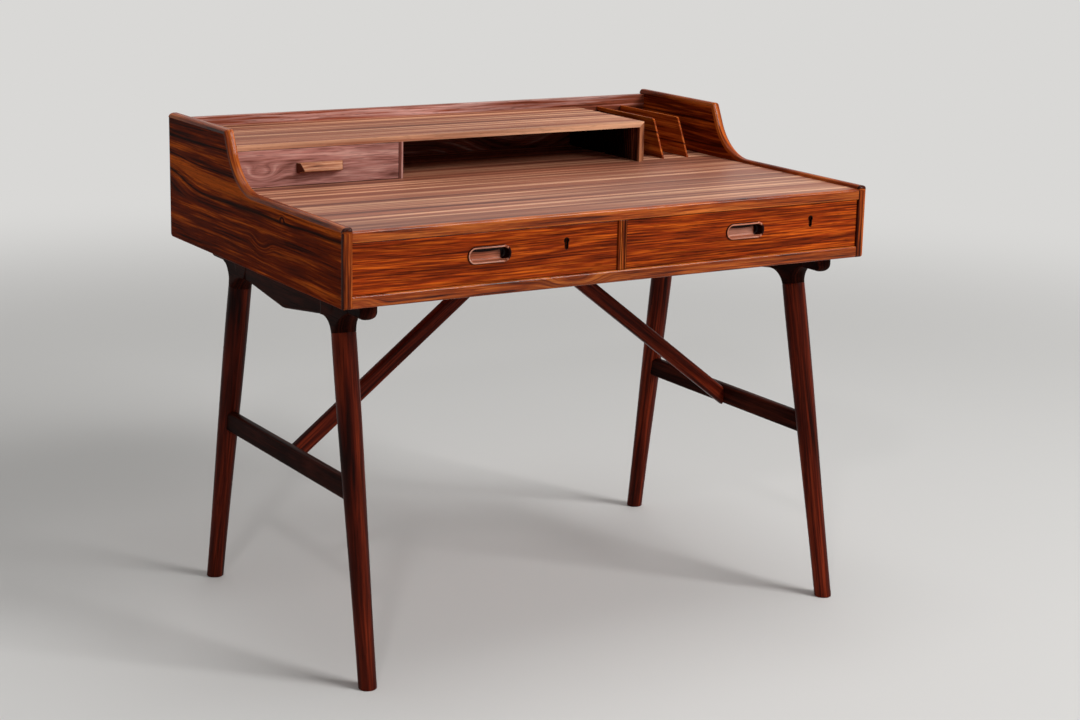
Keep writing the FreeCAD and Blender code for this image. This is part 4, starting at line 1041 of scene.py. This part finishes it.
class DESK_OT_braces(bpy.types.Operator):
    """Makes the two braces and finishes the block between their heads"""

    bl_idname = "desk.braces"
    bl_label = "Braces"

    def execute(self, context):
        sizes = context.scene.desk_sizes
        section = rounded_rectangle(sizes.brace_width, sizes.brace_thickness, sizes.brace_rounding)
        front, back = stretcher_ends(sizes, SIDES["right"])
        y = (front[1] + back[1]) / 2
        foot_x = front[0] - sizes.stretcher_thickness / 2
        level = stretcher_level(sizes) - sizes.brace_foot_drop
        for side_name, side in SIDES.items():
            foot = np.array([side * foot_x, y, level])
            head = np.array([side * sizes.brace_head_spread, y, CASE_LOW])
            along = (head - foot) / np.linalg.norm(head - foot)
            rows, grain = bar_rows(section, foot, head, np.cross(along, Y_AXIS), Y_AXIS, X_AXIS, Z_AXIS)
            cut = Cut(ALONG_X, (26.0, 18.0), (30.0, 80.0 * side, 9.0))
            wood = wooden(f"oiled_rosewood_{side_name}_brace", FRAME, cut, own_grain=True)
            node = f"{side_name}_brace"
            make_piece(f"rounded_{node}", rows, grain, wood, [node])
        block = wooden("oiled_rosewood_block", FRAME, Cut(ALONG_X, (90.0, 500.0), (10.0, 60.0, 0.0)))
        finish_nodes(["brace_block"], block, sizes.eased_edge)
        return {"FINISHED"}


class DESK_OT_screws(bpy.types.Operator):
    """Makes the slotted screws in the stretchers and finishes those under the case"""

    bl_idname = "desk.screws"
    bl_label = "Screws"

    def execute(self, context):
        sizes = context.scene.desk_sizes
        steel = metal("zinc_plated_steel_screws", context.scene.desk_colours.steel, 0.35, 0.4)
        low, high = (np.array(corner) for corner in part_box("brace_screws"))
        middle = (low + high) / 2
        faces = {"left": low[0] - sizes.screw_sink, "right": high[0] + sizes.screw_sink}
        for side_name, side in SIDES.items():
            rows, grain = screw_rows(sizes, side, middle[1], middle[2], faces[side_name])
            make_piece(f"slotted_{side_name}_screw", rows, grain, steel, ["brace_screws"])
        finish_nodes(["case_screws"], steel)
        return {"FINISHED"}


class DESK_OT_edgings(bpy.types.Operator):
    """Carries the solid edging along both boards' fronts and round each side"""

    bl_idname = "desk.edgings"
    bl_label = "Edgings"

    def execute(self, context):
        sizes = context.scene.desk_sizes
        # On the board edgings the zones at the desktop's upper and lower arris and at the bottom edging's
        # upper arris are painted highlights; the widest zone lightens the desktop's edging a little, and the
        # knots are figure
        lip = wooden("lacquered_rosewood_board_edging", LIP, Cut(
            ALONG_X, (-310.0, 560.0), (150.0, 0.0, 0.0),
            knots=((60.0, -338.0, 628.0, 90.0, 26.0, 14.0), (-330.0, -338.0, 634.0, 70.0, 24.0, -10.0)),
            zones=((177.0, 20.0, 0.03), (185.3, 2.6, 0.3), (165.5, 2.4, 0.2), (86.0, 2.4, 0.2))),
            own_grain=True)
        for node, foot in (("desktop_front_edging", sizes.desktop_lip_foot),
                           ("bottom_front_edging", sizes.bottom_lip_foot)):
            rows, grain = lip_rows(node, sizes.lip_arris, foot)
            make_piece(f"rounded_{node}", rows, grain, lip, [node])
        for side_name, side in SIDES.items():
            for part, path in (("front", front_edging_path), ("top", top_edging_path)):
                rows, grain = edging_rows(sizes, side, *path(sizes))
                start = 300.0 * side + 70.0 * len(part)
                # Every side edging is lightened a little on its right-facing flank as painted light, and a
                # front edging is darkened on its left-facing flank as painted shade. The knot and the first
                # zone darken the mitre at the arm's front
                painted_shade_flank = ((993.0, 5.5, -0.22),) if part == "front" else ()
                node = f"{side_name}_{part}_edging"
                wood = wooden(f"lacquered_rosewood_{node}", EDGING, Cut(
                    ALONG_X, (-1000.0, 0.0), (start, 0.0, 0.0), knots=((start, 0.0, 0.0, 9.0, 400.0, 40.0),),
                    zones=((1043.0, 28.0, -0.3), (1010.0, 3.0, 0.08)) + painted_shade_flank), own_grain=True)
                make_piece(f"rounded_{node}", rows, grain, wood, [node])
        return {"FINISHED"}


class DESK_OT_case(bpy.types.Operator):
    """Finishes the sides, boards, stile, divider, back and runners of the case"""

    bl_idname = "desk.case"
    bl_label = "Case"

    def execute(self, context):
        eased = context.scene.desk_sizes.eased_edge
        left = wooden("lacquered_rosewood_veneer_left_side", SIDE_VENEER, Cut(
            ALONG_Y, (505.0, -80.0),
            knots=((430.0, 505.0, 735.0, 290.0, 60.0, -28.0), (-121.0, 505.0, 726.0, 16.0, 10.0, -8.0),
                   (-40.0, 505.0, 668.0, 60.0, 34.0, 12.0)),
            veins=((807.0, 10.0, 0.95), (851.0, 6.0, 0.95), (891.0, 8.0, 0.95), (915.0, 4.0, 0.8)),
            zones=((829.0, 20.0, 0.2), (868.0, 14.0, 0.05), (905.0, 30.0, -0.05), (760.0, 50.0, -0.02))))
        finish_nodes(["left_side_panel"], left)
        right = wooden("lacquered_rosewood_veneer_right_side", SIDE_VENEER, Cut(
            ALONG_Y, (-505.0, -80.0), (900.0, 0.0, 0.0), knots=((1010.0, -505.0, 690.0, 66.0, 30.0, 22.0),),
            veins=((850.0, 4.0, 0.6), (890.0, 5.0, 0.6))))
        finish_nodes(["right_side_panel"], right)
        # A thin dark line on the desktop at the gallery's front is a painted shadow of the gap under the
        # small drawer
        top = wooden("oiled_rosewood_veneer_top", TOP_VENEER,
                     Cut(ALONG_X, (-900.0, 400.0), zones=((1051.5, 1.8, -0.35),)))
        finish_nodes(["desktop_board"], top)
        # The stile's zones paint light and shade across its width: painted shade in its two grooves and at
        # its right edge by the gap, a thin painted highlight line, and a slightly darker left strip and
        # lighter middle band
        stile = wooden("lacquered_rosewood_stile", STILE, Cut(
            ALONG_Z, (-338.0, 1000.0), (60.0, 0.0, 0.0),
            zones=((995.0, 3.0, -0.08), (997.0, 0.9, 0.3), (998.5, 1.1, -0.4), (1001.0, 3.0, 0.08),
                   (1004.9, 1.2, -0.4), (1008.3, 1.6, -0.3))))
        finish_nodes(["centre_stile"], stile, eased)
        inside = wooden("oiled_rosewood_veneer_inside", FRONT_VENEER,
                        Cut(ALONG_Y, (200.0, 300.0), (400.0, 0.0, 0.0)))
        finish_nodes(["centre_divider"], inside)
        under = wooden("oiled_rosewood_veneer_underside", SMALL_VENEER,
                       Cut(ALONG_X, (200.0, 900.0), (700.0, 0.0, 0.0)))
        finish_nodes(["bottom_board"], under)
        # The back panel's cut lightens a strip along its top as a painted sheen, and darkens the panel below
        # it a little
        back = wooden("lacquered_rosewood_veneer_back", BACK_VENEER, Cut(
            ALONG_X, (340.0, -1000.0), (500.0, 0.0, 0.0),
            knots=((700.0, 340.0, 720.0, 260.0, 90.0, 40.0), (260.0, 340.0, 690.0, 200.0, 60.0, -26.0)),
            zones=((1823.0, 13.0, 0.03), (1700.0, 110.0, -0.05))))
        finish_nodes(["back_panel", "back_panel_edging"], back)
        runner = wooden("waxed_drawer_runner_wood", DRAWER_WOOD,
                        Cut(ALONG_Y, (90.0, 600.0), (90.0, 0.0, 0.0)))
        finish_nodes(["drawer_runners"], runner, eased)
        return {"FINISHED"}


class DESK_OT_gallery(bpy.types.Operator):
    """Finishes the boards and dividers of the gallery"""

    bl_idname = "desk.gallery"
    bl_label = "Gallery"

    def execute(self, context):
        eased = context.scene.desk_sizes.eased_edge
        # A lighter band along the gallery top's front edge is a painted highlight
        top = wooden("oiled_rosewood_veneer_gallery_top", GALLERY_VENEER,
                     Cut(ALONG_X, (-900.0, 400.0), (320.0, 35.0, 0.0), zones=((1108.0, 8.0, 0.06),)))
        finish_nodes(["gallery_top_board"], top)
        # The upright's cut lightens its front edge where light falls and darkens it towards the back: painted
        # light and painted shade
        upright = wooden("lacquered_rosewood_gallery_upright", SHADED_UPRIGHT, Cut(
            ALONG_Z, (-1000.0, 0.0),
            zones=((1138.0, 8.0, 0.14), (1330.0, 190.0, -0.3), (1230.0, 60.0, -0.15))))
        finish_nodes(["gallery_end_upright"], upright)
        # A dark band on the left of the partition's front edge is a painted shadow of the gap beside the
        # small drawer
        partition = wooden("lacquered_rosewood_gallery_partition", PARTITION,
                           Cut(ALONG_Z, (91.0, -1000.0), zones=((1185.0, 5.0, -0.5),)))
        finish_nodes(["gallery_partition"], partition)
        thin = wooden("lacquered_rosewood_letter_dividers", THIN,
                      Cut(ALONG_Y, (-300.0, 500.0), (600.0, 0.0, 0.0)))
        finish_nodes(["letter_divider_1", "letter_divider_2"], thin, eased)
        stop = wooden("waxed_drawer_stop_wood", DRAWER_WOOD, Cut(ALONG_X, (250.0, 700.0), (50.0, 0.0, 0.0)))
        finish_nodes(["gallery_drawer_stop"], stop, eased)
        return {"FINISHED"}


class DESK_OT_drawers(bpy.types.Operator):
    """Finishes the three drawers with their boxes"""

    bl_idname = "desk.drawers"
    bl_label = "Drawers"

    def execute(self, context):
        eased = context.scene.desk_sizes.eased_edge
        fronts = wooden("lacquered_rosewood_veneer_fronts", FRONT_VENEER, Cut(ALONG_X, (-480.0, 400.0)))
        finish_nodes(["left_drawer_front", "right_drawer_front"], fronts, eased)
        small = wooden("lacquered_rosewood_veneer_small_front", SMALL_VENEER,
                       Cut(ALONG_X, (60.0, 500.0), knots=((-446.0, 91.0, 761.0, 56.0, 26.0, 20.0),)))
        finish_nodes(["small_drawer_front"], small, eased)
        long_way = wooden("waxed_drawer_side_wood", DRAWER_WOOD, Cut(ALONG_Y, (700.0, 800.0)))
        cross_way = wooden("waxed_drawer_back_wood", DRAWER_WOOD, Cut(ALONG_X, (700.0, 900.0)))
        for drawer in ("left_drawer", "right_drawer", "small_drawer"):
            finish_nodes([f"{drawer}_left_side", f"{drawer}_right_side", f"{drawer}_bottom"], long_way, eased)
            finish_nodes([f"{drawer}_back"], cross_way, eased)
        return {"FINISHED"}


class DESK_OT_handles(bpy.types.Operator):
    """Makes the oval cups of the large drawers and the wedge pull of the small one"""

    bl_idname = "desk.handles"
    bl_label = "Handles"

    def execute(self, context):
        sizes = context.scene.desk_sizes
        for side in SIDES:
            node = f"{side}_drawer_handle"
            rows, grain = handle_rows(sizes, node)
            left, right = (corner[0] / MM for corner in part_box(node))
            # The cup's knots and zones paint light and shade: painted shade on the ring's outer flank, along
            # the top of the floor and over the hollow's right end, and a painted highlight on the crest; one
            # zone lightens the floor
            wood = wooden(f"lacquered_rosewood_{side}_handle", HANDLE, Cut(
                ALONG_X, (-1338.0, 685.0),
                knots=((right, -323.0, 685.0, 17.0, 60.0, 30.0),
                       ((left + right) / 2, -323.0, 692.0, 45.0, 6.5, 12.0)),
                zones=((998.4, 2.6, -0.4), (1000.6, 0.6, 0.12), (1015.5, 3.0, 0.12), (1035.0, 22.0, -0.35))),
                own_grain=True)
            make_piece(f"oval_{side}_handle", rows, grain, wood, [node],
                       body=f"{side}_drawer", capped=False)
        rows, grain = pull_rows(sizes)
        wood = wooden("oiled_pale_rosewood_pull", PULL,
                      Cut(ALONG_X, (50.0, 740.0), zones=((137.0, 50.0, -0.5),)), own_grain=True)
        make_piece("wedge_pull", rows, grain, wood, ["small_drawer_pull"],
                   body="small_drawer")
        return {"FINISHED"}


class DESK_OT_locks(bpy.types.Operator):
    """Finishes the locks, their bolts and keyhole linings"""

    bl_idname = "desk.locks"
    bl_label = "Locks"

    def execute(self, context):
        brass = metal("tarnished_brass_lock", context.scene.desk_colours.brass, 0.42, 0.5)
        bronze = metal("blackened_bronze_keyhole_lining", context.scene.desk_colours.bronze, 0.45, 0.5)
        for side in SIDES:
            finish_nodes([f"{side}_drawer_lock_case", f"{side}_lock_bolt"], brass)
            finish_nodes([f"{side}_drawer_escutcheon"], bronze)
        return {"FINISHED"}


def looking(place, direction, roll=0.0):
    """Matrix of something at a place whose -Z points in a direction, rolled about it."""
    forward = np.array(direction) / np.linalg.norm(direction)
    right = np.cross(forward, [0.0, 0.0, 1.0])
    right /= np.linalg.norm(right)
    up = np.cross(right, forward)
    rolled_right = right * math.cos(roll) + up * math.sin(roll)
    rolled_up = up * math.cos(roll) - right * math.sin(roll)
    matrix = np.eye(4)
    matrix[:3] = np.stack([rolled_right, rolled_up, -forward, np.array(place)], 1)
    return [[float(value) for value in row] for row in matrix.T]


def seen_directly(tree):
    """1 for a ray from the camera, also by way of a mirror or through glass, else 0."""
    path = add(tree, "LightPath").outputs
    seen = add(tree, "Math", {0: path["Is Camera Ray"], 1: path["Is Glossy Ray"]}, operation="ADD")
    return add(tree, "Math", {0: seen, 1: path["Is Transmission Ray"]}, operation="ADD", use_clamp=True)


def studio_floor(scene):
    """Matt painted floor that keeps the desk's shadow and fades into the background."""
    pale = tuple(scene.desk_colours.floor)
    material, tree = blank_material("matt_painted_floor")
    source = add(tree, "TexCoord").outputs["Object"]
    mottle = add(tree, "TexNoise", {"Vector": source, "Scale": 3.0, "Detail": 6.0})
    rough = add(tree, "MapRange", {"Value": mottle, "To Min": 0.65, "To Max": 0.85})
    paint = add(tree, "BsdfPrincipled", {"Base Color": pale, "Roughness": rough, "Specular IOR Level": 0.2})
    glow = add(tree, "Emission", {"Color": pale, "Strength": seen_directly(tree)})
    away = add(tree, "VectorMath", {0: source}, operation="LENGTH").outputs["Value"]
    far = add(tree, "MapRange", {"Value": away, "From Min": 1.6, "From Max": 4.5},
              interpolation_type="SMOOTHERSTEP")
    surface = add(tree, "MixShader", {0: far, 1: paint, 2: glow})
    add(tree, "OutputMaterial", {"Surface": surface})
    corners = [(x * STUDIO_REACH, y * STUDIO_REACH, 0) for x, y in ((-1, -1), (1, -1), (1, 1), (-1, 1))]
    mesh = bpy.data.meshes.new("studio_floor")
    mesh.from_pydata(corners, [], [(0, 1, 2, 3)])
    mesh.materials.append(material)
    floor = bpy.data.objects.new("studio_floor", mesh)
    scene.collection.objects.link(floor)


def studio_world(scene):
    """Pale surroundings, dim as a light and full where they are seen."""
    world = bpy.data.worlds.new("studio")
    scene.world = world
    world.use_nodes = True
    tree = world.node_tree
    tree.nodes.clear()
    strength = add(tree, "MapRange", {"Value": seen_directly(tree), "To Min": scene.desk_studio.ambient_level,
                                      "To Max": 1.0})
    sky = add(tree, "Background", {"Color": tuple(scene.desk_colours.floor), "Strength": strength})
    add(tree, "OutputWorld", {"Surface": sky})


def studio_lamp(scene, name, place, size, level):
    """Square softbox aimed at the desk. A white surface square to it renders as level.

    For that its power at a distance d is pi^2 d^2 times the level.
    """
    aim = np.array([0.0, 0.0, 0.6])
    lamp = bpy.data.lights.new(f"{name}_softbox", "AREA")
    lamp.shape = "SQUARE"
    lamp.size = size
    lamp.energy = level * (math.pi * float(np.linalg.norm(np.array(place) - aim))) ** 2
    holder = bpy.data.objects.new(f"{name}_softbox", lamp)
    holder.matrix_world = looking(place, aim - place)
    scene.collection.objects.link(holder)


def studio_camera(scene):
    """Camera that takes the photo's view."""
    studio = scene.desk_studio
    heading, pitch, roll = studio.camera_turn
    forward = [math.sin(-heading) * math.cos(pitch), math.cos(heading) * math.cos(pitch), math.sin(pitch)]
    camera = bpy.data.cameras.new("photo_view")
    camera.sensor_width = 36.0
    camera.sensor_fit = "HORIZONTAL"
    camera.lens = studio.camera_lens
    camera.clip_end = 200.0
    holder = bpy.data.objects.new("photo_view", camera)
    holder.matrix_world = looking(studio.camera_place, forward, roll)
    scene.collection.objects.link(holder)
    scene.camera = holder


class DESK_OT_studio(bpy.types.Operator):
    """Sets up the pale floor, the soft lights and the camera"""

    bl_idname = "desk.studio"
    bl_label = "Studio"

    def execute(self, context):
        scene = context.scene
        studio = scene.desk_studio
        studio_floor(scene)
        studio_world(scene)
        studio_lamp(scene, "key", (3.4, -4.9, 4.4), 2.6, studio.key_level)
        studio_lamp(scene, "top", (0.6, 0.2, 5.0), 3.0, studio.top_level)
        studio_lamp(scene, "fill", (-2.75, -3.4, 3.55), 0.35, studio.fill_level)
        studio_camera(scene)
        scene.view_settings.view_transform = "Standard"
        return {"FINISHED"}


OPERATORS = (DESK_OT_case, DESK_OT_gallery, DESK_OT_drawers, DESK_OT_locks, DESK_OT_edgings,
             DESK_OT_end_rails, DESK_OT_legs, DESK_OT_stretchers, DESK_OT_braces, DESK_OT_screws,
             DESK_OT_handles, DESK_OT_studio)


class DESK_PT_panel(bpy.types.Panel):
    """Sidebar panel that lists the pieces of the desk"""

    bl_idname = "DESK_PT_panel"
    bl_label = "Rosewood writing desk"
    bl_space_type = "VIEW_3D"
    bl_region_type = "UI"
    bl_category = "Desk"

    def draw(self, context):
        for operator in OPERATORS:
            self.layout.operator(operator.bl_idname)
        for group in (context.scene.desk_sizes, context.scene.desk_colours, context.scene.desk_studio):
            box = self.layout.box()
            for name in group.__annotations__:
                box.prop(group, name)


CLASSES = (DeskSizes, DeskColours, DeskStudio) + OPERATORS + (DESK_PT_panel,)


def register():
    for cls in CLASSES:
        bpy.utils.register_class(cls)
    bpy.types.Scene.desk_sizes = PointerProperty(type=DeskSizes)
    bpy.types.Scene.desk_colours = PointerProperty(type=DeskColours)
    bpy.types.Scene.desk_studio = PointerProperty(type=DeskStudio)


def unregister():
    del bpy.types.Scene.desk_sizes
    del bpy.types.Scene.desk_colours
    del bpy.types.Scene.desk_studio
    for cls in reversed(CLASSES):
        bpy.utils.unregister_class(cls)


def main():
    """Makes every piece."""
    register()
    for operator in OPERATORS:
        group, name = operator.bl_idname.split(".")
        getattr(getattr(bpy.ops, group), name)()


if __name__ == "__main__":
    main()
